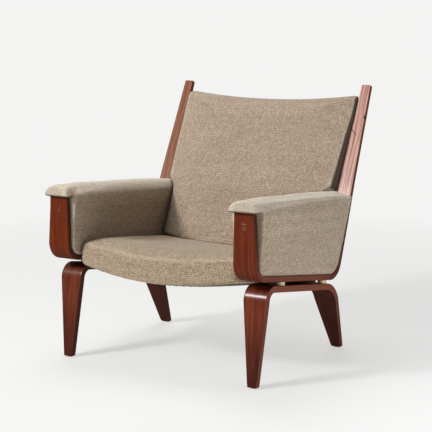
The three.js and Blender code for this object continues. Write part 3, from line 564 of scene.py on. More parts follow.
def new_material(name):
    """A tree with its fresh material and shader."""
    material = bpy.data.materials.new(name)
    material.use_nodes = True
    material.node_tree.nodes.clear()
    t = Tree(material.node_tree)
    t.material, t.shader = material, t.node("BsdfPrincipled")
    t.node("OutputMaterial", {"Surface": t.shader}, is_active_output=True)
    return t


def group_tree(name, kind, inputs, outputs):
    """A node group from (socket, type, default) rows; its inputs and its output node come with it."""
    tree = bpy.data.node_groups.new(name, kind)
    for socket, sort, default in inputs:
        made = tree.interface.new_socket(socket, in_out="INPUT", socket_type="NodeSocket" + sort)
        if default is not None:
            made.default_value = default
    for socket, sort in outputs:
        tree.interface.new_socket(socket, in_out="OUTPUT", socket_type="NodeSocket" + sort)
    t = Tree(tree)
    return t, t.node("NodeGroupInput").outputs, t.node("NodeGroupOutput")


def shared_group(name, inputs, outputs):
    """Turns a function that places nodes into one that makes its shader group once."""
    def wrap(build):
        def made_once():
            if name not in bpy.data.node_groups:
                rows = [(key, "Vector" if isinstance(value, tuple) else "Float", value)
                        for key, value in inputs.items()]
                t, given, out = group_tree(name, "ShaderNodeTree", rows, [(key, "Float") for key in outputs])
                for key, value in zip(outputs, build(t, *given[:len(rows)])):
                    t.feed(out.inputs[key], value)
            return bpy.data.node_groups[name]
        return made_once
    return wrap


@shared_group("Wood grain", {"Place": ORIGIN, "Offset": ORIGIN, "Figure width": 0.016}, ("Figure", "Fibre", "Pores"))
def grain_group(t, place, offset, figure_width):
    """Figure, fibre and pores of wood whose grain runs along the first part of Place."""
    place = t.vector("ADD", place, offset)
    drift = t.noise(place, (2.4, 14, 14), 3)
    wave = t.noise(place, (5, 45, 45))
    _, across, depth = t.parts(place)
    ring = t.maths("ADD", t.maths("ADD", across, t.times(drift, 0.085)), t.times(depth, 0.6))
    turns = t.times(t.maths("DIVIDE", ring, figure_width), 2 * math.pi)
    bands = t.times_plus(t.maths("SINE", t.maths("ADD", turns, t.times(wave, 3.5))), 0.5, 0.5)
    streak = t.noise(place, (4, 260, 260), 4, 0.6)
    figure = t.maths("ADD", t.times(bands, 0.14), t.times(streak, 0.86))
    fibre = t.noise(place, (26, 1500, 1500), 3, 0.65)
    pores = t.noise(place, (110, 2600, 2600), 1)
    return figure, fibre, t.spread(pores, 0.60, 0.72)


@shared_group("Veneer layers", {"Depth": 0.0, "Along": 0.0, "Veneer": 0.0015}, ("Tone", "Glue"))
def veneer_group(t, depth, along, veneer):
    """Tone and glue lines of the layers that show on the narrow side of a laminate."""
    drift = t.noise(t.node("CombineXYZ", {"X": along}), 9)
    layer = t.maths("DIVIDE", t.times_plus(drift, 0.0006, depth), veneer)
    tone = t.white_noise("1D", W=t.maths("FLOOR", layer))
    from_middle = t.maths("ABSOLUTE", t.maths("SUBTRACT", t.maths("FRACT", layer), 0.5))
    return tone, t.spread(from_middle, 0.38, 0.47)


@shared_group("Edge wear", {"Rim": 0.0, "Place": ORIGIN}, ("Mask",))
def wear_group(t, rim, place):
    """A ragged mask where an edge is rubbed."""
    ragged = t.times_plus(t.noise(place, (14, 90, 90), 4, 0.7), 1.1, -0.55)
    return t.spread(t.maths("ADD", t.times(rim, 0.5), ragged), 0.12, 0.5),


@shared_group("Scratch", {"Place": ORIGIN, "Start": ORIGIN, "End": ORIGIN, "Width": 0.001}, ("Mask",))
def scratch_group(t, place, start, end, width):
    """A thin ragged mark from Start to End in the plane of a strip."""
    flat = t.vector("MULTIPLY", t.wandered(place, 160, 0.004), (1, 1, 0))
    run, gone = t.vector("SUBTRACT", end, start), t.vector("SUBTRACT", flat, start)
    share = t.maths("DIVIDE", t.vector("DOT_PRODUCT", gone, run), t.vector("DOT_PRODUCT", run, run), clamp=True)
    away = t.vector("LENGTH", t.vector("SUBTRACT", gone, t.scaled(run, share)))
    return t.spread(t.maths("SUBTRACT", 1.0, t.maths("DIVIDE", away, width), clamp=True), 0, 0.5),


@shared_group("Wool weave", {"Place": ORIGIN, "Yarn": 0.0028}, ("Height", "Tone", "Gap"))
def weave_group(t, place, yarn):
    """A basket weave: paired yarns that cross square, with tone and darker gaps between them."""
    across, up, _ = t.parts(t.scaled(t.wandered(place, 22, 0.006), t.maths("DIVIDE", 1.0, yarn)))

    def ridge(count, sharpness):
        return t.maths("POWER", t.maths("SINE", t.times(t.maths("FRACT", count), math.pi)), sharpness)

    column, row = t.maths("DIVIDE", across, 1.5), t.maths("DIVIDE", up, 2.0)
    yarns = t.times(ridge(across, 0.4), ridge(up, 0.4))
    pairs = t.times(ridge(column, 0.35), ridge(row, 0.55))
    column, row = t.maths("FLOOR", column), t.maths("FLOOR", row)
    over = t.times_plus(t.maths("COSINE", t.times(t.maths("ADD", column, row), math.pi)), 0.07, 0.93)
    height = t.times(t.times_plus(yarns, 0.35, t.times(pairs, 0.65)), over)
    crossing = t.white_noise("2D", Vector=t.node("CombineXYZ", {"X": column, "Y": row}))
    tone = t.times_plus(t.white_noise("1D", W=row), 0.06, t.times(t.noise(place, 330, 3, 0.7), 0.62))
    tone = t.times_plus(crossing, 0.26, tone)
    tone = t.times_plus(t.maths("SUBTRACT", height, 0.7), 0.45, tone)
    return height, tone, t.spread(height, 0.7, 0.3)


def laminate_material(name, offset, colours, gloss, length, painted_edge_shade, painted_face_shade=(), painted_sheen=(), scratches=()):
    """Oiled laminated wood whose grain follows the strip; colours run from dark to light.

    Shades are (share of the length, brightness) of painted shade on the narrow sides and on the broad faces, the
    painted sheen is (from, to, share, tint), a paler colour along the strip that stands in for the reflection of the
    lights, and each scratch is (start, end, width, colour, share)."""
    wood = bpy.context.scene.chair_wood
    dark, middle, light = colours
    t = new_material(name)
    strip = t.kept("Strip")
    along, _, depth = t.parts(strip)
    narrow, rim, _ = t.parts(t.kept("Edges"))
    figure, fibre, pores = t.group(grain_group, {"Place": strip, "Offset": offset})
    length_share = t.maths("DIVIDE", along, length)

    # Painted shade: a brightness ramp along the strip darkens the colour where the wood falls in shade.
    def with_painted_shade(base, tones):
        if not tones:
            return base
        return t.mixed(1.0, base, t.ramp(length_share, *((place, (tone,) * 3) for place, tone in tones)), "MULTIPLY")

    face = t.ramp(figure, (0.26, dark), (0.52, middle), (0.82, light))
    patches = t.noise(strip, (7, 22, 22))
    face = t.mixed(t.spread(patches, 0.35, 0.7, 0, 0.35), face, tinted(middle, (1.1, 0.8, 1.1)))
    clouds = t.noise(t.vector("ADD", t.vector("MULTIPLY", strip, (9, 38, 38)), offset), 1, 3, 0.6)
    face = t.mixed(t.spread(clouds, 0.3, 0.7, 0, 0.45), face, dark)
    # Painted sheen: a paler pink ramp over the back post stands in for the reflection of the lights.
    if painted_sheen:
        start, end, share, tint = painted_sheen
        tones = ((0.3, srgb(142, 88, 70)), (0.52, srgb(200, 152, 136)), (0.72, srgb(230, 194, 182)))
        sheen_colour = t.ramp(figure, *((place, tinted(tone, tint)) for place, tone in tones))
        face = t.mixed(t.spread(along, start, end, 0, share), face, sheen_colour)

    layer, glue = t.group(veneer_group, {"Depth": depth, "Along": along, "Veneer": wood.veneer})
    ply = t.ramp(layer, (0, tinted(wood.edge, 0.62)), (1, tinted(wood.edge, 1.25)))
    ply = t.mixed(t.times(glue, 0.45), ply, dark)
    ply = t.mixed(t.spread(t.noise(strip, (30, 400, 400), 3), 0.35, 0.75, 0, 0.35), ply, middle)
    base = t.mixed(narrow, with_painted_shade(face, painted_face_shade), with_painted_shade(ply, painted_edge_shade))
    base = t.mixed(t.spread(fibre, 0.3, 0.7, 0, 0.22), base, dark)
    base = t.mixed(t.times(pores, 0.35), base, tinted(dark, 0.4))
    worn, = t.group(wear_group, {"Rim": rim, "Place": strip})
    base = t.mixed(t.times(worn, 0.4), base, with_painted_shade(wood.worn, painted_edge_shade))
    for start, end, width, mark, share in scratches:
        mask, = t.group(scratch_group, {"Place": strip, "Start": start, "End": end, "Width": width})
        base = t.mixed(t.times(mask, share), base, mark)
    relief = t.maths("SUBTRACT", t.times(fibre, 0.4), pores)
    relief = t.maths("SUBTRACT", relief, t.times(t.times(glue, narrow), 0.8))
    roughness = t.times_plus(worn, 0.15, t.spread(fibre, 0.25, 0.75, 0.34, 0.46))
    return t.surface(base, roughness, (relief, 0.22, 0.0003), {
        "Specular IOR Level": 0.12, "Coat Weight": t.spread(narrow, 0, 1, gloss, 0.15 * gloss),
        "Coat Roughness": 0.23})


def plain_wood_material(name, light, dark, stretch=(2.5, 90, 90)):
    """Unfinished wood of the hidden frames."""
    t = new_material(name)
    place = t.vector("MULTIPLY", t.place(), tuple(s / 60 for s in stretch))
    figure, fibre, _ = t.group(grain_group, {"Place": place, "Figure width": 0.012})
    return t.surface(t.ramp(figure, (0.3, dark), (0.7, light)), t.spread(fibre, 0.2, 0.8, 0.6, 0.8),
                     (fibre, 0.3, 0.0004))


def plug_material():
    """End grain of the plugs, dark, with rubbed yellow flecks."""
    wood = bpy.context.scene.chair_wood
    t = new_material("Plug wood")
    place = t.place()
    grain = t.noise(place, 900, 3, 0.6)
    base = t.mixed(t.spread(grain, 0.3, 0.7), tinted(wood.dark, 0.7), wood.middle)
    rubbed = t.noise(place, (260, 260, 900), 2, 0.6)
    base = t.mixed(t.spread(rubbed, 0.5, 0.7, 0, 0.5), base, srgb(170, 112, 58))
    return t.surface(base, t.spread(grain, 0.3, 0.7, 0.4, 0.6), (grain, 0.3, 0.0003))


def metal_material(name, base, roughness, dulled=0.0):
    """Turned metal; dulled is how much of it an aged skin covers."""
    t = new_material(name)
    place = t.place()
    cloud, spots = t.noise(place, 140, 3, 0.6), t.noise(place, 900, 2, 0.6)
    metallic = t.spread(spots, 0.3, 0.7, 1 - dulled, 1 - 0.8 * dulled) if dulled else 1.0
    return t.surface(t.mixed(t.spread(cloud, 0.35, 0.7), base, tinted(base, 0.55)),
                     t.spread(spots, 0.3, 0.7, roughness - 0.06, roughness + 0.14), (spots, 0.1, 0.0002),
                     {"Metallic": metallic})


def glide_material():
    t = new_material("Glide")
    scuffs = t.noise(t.place(), 500, 3, 0.6)
    return t.surface(t.ramp(scuffs, (0.35, srgb(172, 166, 154)), (0.65, srgb(212, 206, 194))),
                     t.spread(scuffs, 0.3, 0.7, 0.4, 0.6))


def thread_material():
    t = new_material("Sewing thread")
    base = srgb(150, 134, 112)
    strands = t.noise(t.place(), 2400)
    return t.surface(t.mixed(t.spread(strands, 0.3, 0.7), tinted(base, 0.6), base),
                     t.spread(strands, 0.3, 0.7, 0.6, 0.85))


def wool_material(name, tint, offset, marks=True, yarn_share=0.9, depth=0.85, heather=0.85, hem_or_shade=None):
    """Heathered wool upholstery. Marks kept on the mesh lighten rubbed places and painted light, soil spots, and lay
    a hem colour on the seat and painted shade on the back and arms; depth is of its gaps.
    """
    cloth = bpy.context.scene.chair_cloth
    t = new_material(name)
    place = t.vector("ADD", t.node("UVMap", uv_map="Weave").outputs["UV"], offset)
    height, tone, gap = t.group(weave_group, {"Place": place, "Yarn": cloth.yarn * yarn_share})
    reach = 0.30 / heather
    base = t.ramp(tone, (0.55 - reach, tinted(cloth.dark, tint)), (0.55, tinted(cloth.middle, tint)),
                  (0.55 + reach, tinted(cloth.light, tint)))
    base = t.mixed(t.times(gap, 0.36 * depth), base, tinted(srgb(92, 76, 58), tint))
    soil = t.spread(t.noise(t.place(), 5.5, 4, 0.55), 0.35, 0.7, 0, 0.14)
    base = t.mixed(soil, base, tinted(srgb(140, 116, 88), tint))
    if marks:
        rubbed, spotted, hem_or_shade_mask = t.parts(t.kept("Wear"))
        ragged = t.spread(t.noise(place, 420, 3, 0.7), 0.35, 0.6)
        # The first channel lightens: rubbed places, and painted light and highlights.
        base = t.mixed(t.times(rubbed, 0.7), base, t.mixed(tone, srgb(196, 184, 166), srgb(242, 232, 214)))
        base = t.mixed(t.times(t.times(spotted, ragged), 0.8), base, srgb(190, 146, 84))
        # The third channel takes the dust cloth colour of the seat's hem, and on the back and arms the dark colour of
        # painted shade.
        base = t.mixed(t.times(hem_or_shade_mask, 0.85 if hem_or_shade else 0.7), base, hem_or_shade or cloth.dust)
    relief = t.times_plus(t.noise(place, 1800), 0.25, height)
    return t.surface(base, t.spread(tone, 0.2, 0.9, 0.82, 0.98), (relief, 0.75 * depth, 0.0011), {
        "Sheen Weight": 0.2, "Sheen Roughness": 0.5, "Specular IOR Level": 0.2})


def cloth_material(name, base, yarn):
    """A thin woven backing cloth in one dyed colour."""
    t = new_material(name)
    height, tone, gap = t.group(weave_group, {"Place": t.node("UVMap", uv_map="Weave").outputs["UV"], "Yarn": yarn})
    dark = tinted(base, 0.55)
    shade = t.ramp(tone, (0.25, dark), (0.55, base), (0.85, tinted(base, 1.35)))
    return t.surface(t.mixed(t.times(gap, 0.5), shade, dark), t.spread(tone, 0.2, 0.9, 0.8, 0.95),
                     (height, 0.7, yarn * 0.3))


# Upholstery


def merged_copy(node, grown=0.0):
    """A closed copy of a CAD piece, grown or drawn in along its faces' directions."""
    shell = bmesh.new()
    shell.from_mesh(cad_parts[node].data)
    bmesh.ops.remove_doubles(shell, verts=shell.verts, dist=1e-5)
    bmesh.ops.recalc_face_normals(shell, faces=shell.faces)
    if grown:
        moved = []
        for vert in shell.verts:
            normals = np.array([tuple(face.normal) for face in vert.link_faces])
            push, *_ = np.linalg.lstsq(normals, np.ones(len(normals)), rcond=None)
            moved.append(Vector(push * min(1, 1.8 / max(np.linalg.norm(push), 1e-6))) * grown)
        for vert, push in zip(shell.verts, moved):
            vert.co += push
    return shell


def inner_board(name, node, drawn):
    """A hidden board or block, drawn in a little so that it stays under its cover."""
    return from_shell(name, merged_copy(node, -drawn))


def remeshed(name, node, filler, grown, voxel, draw):
    """One closed skin round a CAD solid and what fills its pocket, in even small faces."""
    whole = merged_copy(node, -draw)
    part = merged_copy(filler, grown)
    extra = bpy.data.meshes.new("filler")
    part.to_mesh(extra)
    part.free()
    whole.from_mesh(extra)
    bpy.data.meshes.remove(extra)
    made = from_shell(name, whole)
    skin = made.modifiers.new("skin", "REMESH")
    skin.mode, skin.voxel_size, skin.adaptivity = "VOXEL", voxel, 0.0
    settled(made).data.shade_smooth()
    return made


def edge_pairs(mesh):
    pairs = np.empty(len(mesh.edges) * 2, dtype=np.int64)
    mesh.edges.foreach_get("vertices", pairs)
    return pairs.reshape(-1, 2)


def smoothed(points, pairs, rounds):
    """Moves each point half way to the middle of its neighbours, some times over."""
    first, second = pairs.T
    count = np.bincount(pairs.ravel(), minlength=len(points)).astype(float)
    for _ in range(rounds):
        total = np.column_stack([np.bincount(first, column[second], len(points))
                                 + np.bincount(second, column[first], len(points)) for column in points.T])
        points = points + (total / count[:, None] - points) * 0.5
    return points


def filled(made, reach, pressure):
    """Blows the cover up with cloth simulation and lets each point move no further than its reach."""
    mesh, scene = made.data, bpy.context.scene
    rest = coordinates(mesh)
    held = made.vertex_groups.new(name="held")
    for index in np.flatnonzero(reach < 0.0004):
        held.add([int(index)], 1.0, "REPLACE")
    cloth = made.modifiers.new("filling", "CLOTH")
    settings = cloth.settings
    settings.quality = 4
    settings.mass = 0.3
    settings.tension_stiffness = settings.compression_stiffness = 12
    settings.shear_stiffness = 6
    settings.bending_stiffness = 2
    settings.use_pressure = True
    settings.uniform_pressure_force = pressure
    settings.effector_weights.gravity = 0
    settings.vertex_group_mass = "held"
    cloth.point_cache.frame_start, cloth.point_cache.frame_end = 1, CLOTH_FRAMES
    for moment in range(1, CLOTH_FRAMES + 1):
        scene.frame_set(moment)
    blown = made.evaluated_get(bpy.context.evaluated_depsgraph_get())
    move = coordinates(blown.to_mesh()) - rest
    blown.to_mesh_clear()
    made.modifiers.clear()
    made.vertex_groups.clear()
    scene.frame_set(1)
    size = np.linalg.norm(move, axis=1)
    limit = np.where(size > 1e-9, np.minimum(1, reach / np.maximum(size, 1e-9)), 0)
    place_points(mesh, rest + move * limit[:, None])


def soft_noise(points, scale, seed):
    """A smooth field between about -1 and 1, the same in each run."""
    draws = np.random.default_rng(seed)
    total = np.zeros(len(points))
    for _ in range(NOISE_WAVES):
        direction = draws.normal(size=3)
        direction *= scale * draws.uniform(0.6, 1.5) / np.linalg.norm(direction)
        total += np.sin(points @ direction + draws.uniform(0, 2 * math.pi))
    return total / math.sqrt(NOISE_WAVES / 2) / 1.6


def push_out(mesh, points, heights):
    """Moves points along the directions that they face."""
    points += coordinates(mesh, "normal") * heights[:, None]
    place_points(mesh, points)


def step(value, low, high):
    """A smooth rise from 0 at low to 1 at high."""
    share = np.clip((value - low) / (high - low), 0, 1)
    return share * share * (3 - 2 * share)


def hill(value, middle, width):
    return np.exp(-((value - middle) / width) ** 2)


def eased(points, first, first_way, second, second_way, radius, share=1.0):
    """Rounds the edge between two faces; first and second are depths under those faces."""
    a, b = radius - first, radius - second
    size = np.hypot(a, b)
    pull = np.where((a > 0) & (b > 0) & (size > radius), radius / np.maximum(size, 1e-9) - 1, 0) * share
    return points + (pull * a)[:, None] * np.array(first_way) + (pull * b)[:, None] * np.array(second_way)


def pitched(angle):
    """Turns the frame's directions to those of a piece that leans by an angle about the X axis."""
    return np.array(((1, 0, 0), (0, math.cos(angle), -math.sin(angle)), (0, math.sin(angle), math.cos(angle))))


def finished_skin(made, turn, *wear):
    """Keeps the wear and the painted light and shade, lays the weave over each face from the side that it faces, and
    rounds the mesh off.
    """
    mesh = made.data
    keep(mesh, "Wear", np.column_stack([np.clip(column, 0, 1) for column in wear]))
    sizes = np.empty(len(mesh.polygons), dtype=np.int64)
    mesh.polygons.foreach_get("loop_total", sizes)
    normals = np.empty(len(mesh.polygons) * 3)
    mesh.polygons.foreach_get("normal", normals)
    facing = np.repeat(np.argmax(np.abs(normals.reshape(-1, 3) @ turn.T), axis=1), sizes)[:, None]
    x, y, z = np.split((coordinates(mesh) @ turn.T)[corner_points(mesh)], 3, axis=1)
    flat = np.where(facing == 0, np.hstack((y, z)), np.where(facing == 1, np.hstack((x, z)), np.hstack((x, y))))
    keep_weave(mesh, flat)
    mesh.shade_smooth()
    finer = made.modifiers.new("finer", "SUBSURF")
    finer.levels = finer.render_levels = 1


class ChairOperator:
    bl_options = {"REGISTER", "UNDO"}

    def execute(self, context):
        self.build(context.scene)
        return {"FINISHED"}


class CHAIR_OT_side_frames(ChairOperator, Operator):
    """Bends the side frames: front post, rail and tapered back post in one strip"""
    bl_idname = "chair.side_frames"
    bl_label = "Side frames"

    def build(self, scene):
        wood = scene.chair_wood
        line = side_line(wood.side_thickness)
        _, inset, width = SIDE_TAPER[0]
        plug_x, plug_z = HALF_WIDTH - inset - width / 2, FRONT_POST_HEIGHT - PLUG_DROP
        radius, bottom = PLUG_BORE
        holes = [((plug_x, POST_FACE - 0.01, plug_z), (plug_x, POST_FACE + bottom, plug_z), radius)]
        radius, bottom = SCREW_BORE
        for height in ("upper", "lower"):
            node = f"back_screw_{height}_right"
            middle, end = box_middle(node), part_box(node)[1].x
            holes.append(((end + 0.02, middle.y, middle.z), (end - bottom, middle.y, middle.z), radius))
        right, left = strip_pair("side_strip", line, SIDE_TAPER, wood.side_thickness, 1, False, holes)

        colours = (wood.dark, wood.middle, wood.light)
        warmer = [tinted(tone, (1, 1, 0.7)) for tone in colours]
        rise, top = line["joints"][4], line["lengths"][-1]
        black, yellow, pale = srgb(34, 12, 8), srgb(190, 136, 62), srgb(176, 108, 74)
        right_marks = (
            ((top - 0.137, 0.292, 0), (top - 0.160, 0.3145, 0), 0.0018, black, 0.85),
            ((top - 0.100, 0.3285, 0), (top - 0.106, 0.3285, 0), 0.0026, black, 0.9),
            ((PLUG_DROP - 0.0125, 0.2955, 0), (PLUG_DROP - 0.0115, 0.3045, 0), 0.0020, yellow, 0.4),
            ((PLUG_DROP + 0.001, 0.301, 0), (PLUG_DROP + 0.010, 0.304, 0), 0.0018, black, 0.6),
        )
        left_marks = (
            ((PLUG_DROP - 0.012, 0.296, 0), (PLUG_DROP - 0.004, 0.301, 0), 0.0012, pale, 0.5),
            ((PLUG_DROP + 0.002, 0.298, 0), (PLUG_DROP + 0.010, 0.302, 0), 0.0020, black, 0.7),
        )
        # Painted shade on the narrow sides: darkest beside the front posts, darker again up the right back post, and
        # dark along the left frame's front post and rail, whose sides face away from the lights.
        right_edge_shade = ((0, 0.2), (0.06, 0.26), (0.16, 0.72), (0.42, 0.85), (0.52, 0.45), (0.72, 0.4), (1, 0.9))
        left_edge_shade = ((0, 0.25), (0.1, 0.25), (0.2, 0.35), (0.45, 0.4), (0.6, 0.8), (1, 0.9))
        # The painted sheen over the back post is strong on the right, and faint and warmer on the left.
        painted_sheen = (rise - 0.03, rise + 0.06)
        finish_piece(right, laminate_material(
            "Side frame wood right", ORIGIN, colours, 0.22, top, right_edge_shade,
            painted_sheen=(*painted_sheen, 0.92, (1, 1, 1)), scratches=right_marks), "frame_wood", "side_frame_right")
        finish_piece(left, laminate_material(
            "Side frame wood left", (1.7, 0.4, 0.2), warmer, 0.12, top, left_edge_shade,
            painted_sheen=(*painted_sheen, 0.25, (1, 0.93, 0.66)), scratches=left_marks), "frame_wood", "side_frame_left")


class CHAIR_OT_leg_frames(ChairOperator, Operator):
    """Bends the leg frames: two tapered legs and the bar between them in one strip"""
    bl_idname = "chair.leg_frames"
    bl_label = "Leg frames"

    def build(self, scene):
        wood = scene.chair_wood
        line = leg_line()
        up = Vector(RAIL_UP)
        radius, bottom = BOLT_BORE
        holes = []
        for end in ENDS:
            under = box_middle(f"spacer_{end}_right") - up * (SPACER_HEIGHT / 2 + JOINT + wood.leg_thickness)
            holes.append((under - up * 0.01, under + up * bottom, radius))
        pair = strip_pair("leg_strip", line, LEG_TAPER, wood.leg_thickness, -1, True, holes)

        reach = line["lengths"][-1]
        bends = [place / reach for place in line["joints"][1:5]]
        # Painted shade along the legs: faces darker at the feet, just past the crest of the front bend, along the bar
        # and down the rear leg; narrow sides darker towards the feet on the right, and dark all along on the left,
        # where they face away from the lights.
        painted_face_shade = ((0, 0.36), (0.12, 0.6), (bends[0] - 0.04, 1), (bends[0] + 0.02, 0.9), (bends[1], 0.4),
                     (bends[2], 0.4), (bends[3], 0.36), (1, 0.26))
        right_edge_shade = ((0, 0.65), (bends[0], 0.72), (bends[1], 0.9), (bends[2], 0.95), (bends[3], 0.8), (1, 0.42))
        left_edge_shade = ((0, 0.25), (bends[1], 0.3), (bends[2], 0.3), (1, 0.3))
        looks = (((3.1, 0.9, 0.4), 0.4, right_edge_shade), ((4.6, 1.3, 0.7), 0.5, left_edge_shade))
        for made, side, (offset, gloss, painted_edge_shade) in zip(pair, SIDES, looks):
            finish_piece(made, laminate_material(
                f"Leg frame wood {side}", offset, (wood.leg_dark, wood.leg_middle, wood.leg_light), gloss, reach,
                painted_edge_shade, painted_face_shade), "leg_wood", f"leg_frame_{side}")


class CHAIR_OT_seat_cushion(ChairOperator, Operator):
    """Fills the dished seat cushion"""
    bl_idname = "chair.seat_cushion"
    bl_label = "Seat cushion"

    def build(self, scene):
        cloth = scene.chair_cloth
        made = remeshed("seat_cushion", "seat_pad", "seat_shell", 0.0003, cloth.voxel, COVER_DRAWN)
        mesh = made.data
        turn = pitched(RAIL_PITCH)
        pairs = edge_pairs(mesh)
        points = smoothed(coordinates(mesh), pairs, 6)
        place_points(mesh, points)
        normals, own = coordinates(mesh, "normal") @ turn.T, points @ turn.T
        top = step(normals[:, 2], 0.15, 0.6)
        front = step(-normals[:, 1], 0.3, 0.8)
        seat_rear = SEAT_REAR + POST_FACE
        rear = step(own[:, 1], seat_rear - 0.075, seat_rear - 0.1)
        edge = step(SEAT_HALF - np.abs(own[:, 0]), 0.004, 0.03)
        filled(made, SEAT_PUFF * np.clip(top * rear + front, 0, 1) * edge, cloth.pressure)
        points = smoothed(coordinates(mesh), pairs, 4)
        push_out(mesh, points, soft_noise(points, 45, 11) * 0.0008 * top * edge)
        normals, own = coordinates(mesh, "normal") @ turn.T, points @ turn.T
        facing_front = step(-normals[:, 1], 0.2, 0.5)
        ridge = hill(normals[:, 2], 0.62, 0.16) * step(-own[:, 1], 0.23, 0.27) * facing_front
        push_out(mesh, points, ridge * 0.0007)
        across = np.clip(np.abs(own[:, 0]) / SEAT_HALF, 0, 1)
        low = own[:, 2] - (own[:, 2].min() + SEAT_DISH * across ** SEAT_DISH_POWER)
        hem_or_shade = step(-low, -0.006, -0.003) * facing_front
        # The front-top ridge takes a lighter colour, and the right part of the front bottom edge the dust cloth's
        # colour.
        finished_skin(made, turn, ridge * 0.3, np.zeros(len(points)), hem_or_shade * step(own[:, 0], 0.02, 0.08))
        # The seat's cloth is tinted darker than the arms' and back's: partly a real difference of the cloth, partly
        # painted shade from the back and arms.
        finish_piece(made, wool_material("Seat wool", (0.89, 0.87, 0.80), ORIGIN), "seat_cloth_cover", "seat_pad",
                     padded=0.75)


class CHAIR_OT_back_cushion(ChairOperator, Operator):
    """Fills the leaning back cushion"""
    bl_idname = "chair.back_cushion"
    bl_label = "Back cushion"

    def build(self, scene):
        cloth = scene.chair_cloth
        made = remeshed("back_cushion", "back_pad", "back_shell", -0.0002, cloth.voxel, COVER_DRAWN)
        mesh = made.data
        turn = pitched(-UPPER_LEAN)
        pairs = edge_pairs(mesh)
        levels, band = np.arange(0.28, 0.75, 0.008), 0.012

        def inside_edge():
            """How far each point lies inside the outline of its own level."""
            widest = [np.abs(points[np.abs(points[:, 2] - level) < band, 0]).max(initial=0.26) for level in levels]
            return np.interp(points[:, 2], levels, widest) - np.abs(points[:, 0])

        points = smoothed(coordinates(mesh), pairs, 4)
        place_points(mesh, points)
        normals = coordinates(mesh, "normal") @ turn.T
        roll = 0.007 * np.clip(1 - inside_edge() / 0.034, 0, 1) ** 2 * step(-normals[:, 1], 0.3, 0.8)
        points += turn[1] * roll[:, None]
        points = smoothed(points, pairs, 2)
        place_points(mesh, points)
        normals = coordinates(mesh, "normal") @ turn.T
        front = step(-normals[:, 1], 0.2, 0.7)
        top = step(normals[:, 2], 0.3, 0.8) * step(points[:, 2], 0.68, 0.72)
        low = step(points[:, 2], 0.30, 0.36)
        edge = step(0.262 - np.abs(points[:, 0]), 0.0, 0.02) + step(points[:, 2], 0.47, 0.5)
        filled(made, BACK_PUFF * np.clip(front * low + top * 0.3, 0, 1) * np.clip(edge, 0, 1), cloth.pressure)
        points = smoothed(coordinates(mesh), pairs, 4)
        points += coordinates(mesh, "normal") * (soft_noise(points, 40, 23) * 0.0009 * front)[:, None]
        points[:, 0] *= 1 - 0.007 * step(points[:, 2], 0.66, 0.48)
        place_points(mesh, points)

        normals, own = coordinates(mesh, "normal") @ turn.T, points @ turn.T
        outside = np.abs(points[:, 0]) > 0.2
        nearest = [own[outside & (np.abs(points[:, 2] - level) < band), 1].min(initial=0.3) for level in levels]
        deep = own[:, 1] - np.interp(points[:, 2], levels, nearest)
        sideways, above_seat = np.abs(normals[:, 0]), step(points[:, 2], 0.40, 0.46)
        # Painted shade: the side faces more than about 30 mm behind the front take a dark colour.
        sides = step(sideways, 0.5, 0.8) * above_seat * step(deep, 0.030, 0.038)
        # Painted highlight: a light line along the left edge of the front.
        rim = hill(inside_edge(), 0.005, 0.003) * step(-points[:, 0], 0, 0.1) * step(-normals[:, 1], 0.3, 0.6)
        # Painted light: the front part of the side faces takes the lighter colour, so that the front's brightness runs
        # round the edge.
        flank = step(sideways, 0.3, 0.75) * above_seat * (1 - sides)
        finished_skin(made, turn, np.maximum(0.7 * rim, flank), np.zeros(len(points)), sides)
        # The dark colour is the painted shade of the side faces.
        wool = wool_material("Back wool", (0.975, 0.965, 0.975), (0.31, 0.17, 0), yarn_share=0.8, depth=0.75,
                             heather=0.8, hem_or_shade=srgb(46, 28, 20))
        finish_piece(made, wool, "back_cloth_cover", "back_pad", padded=0.7)


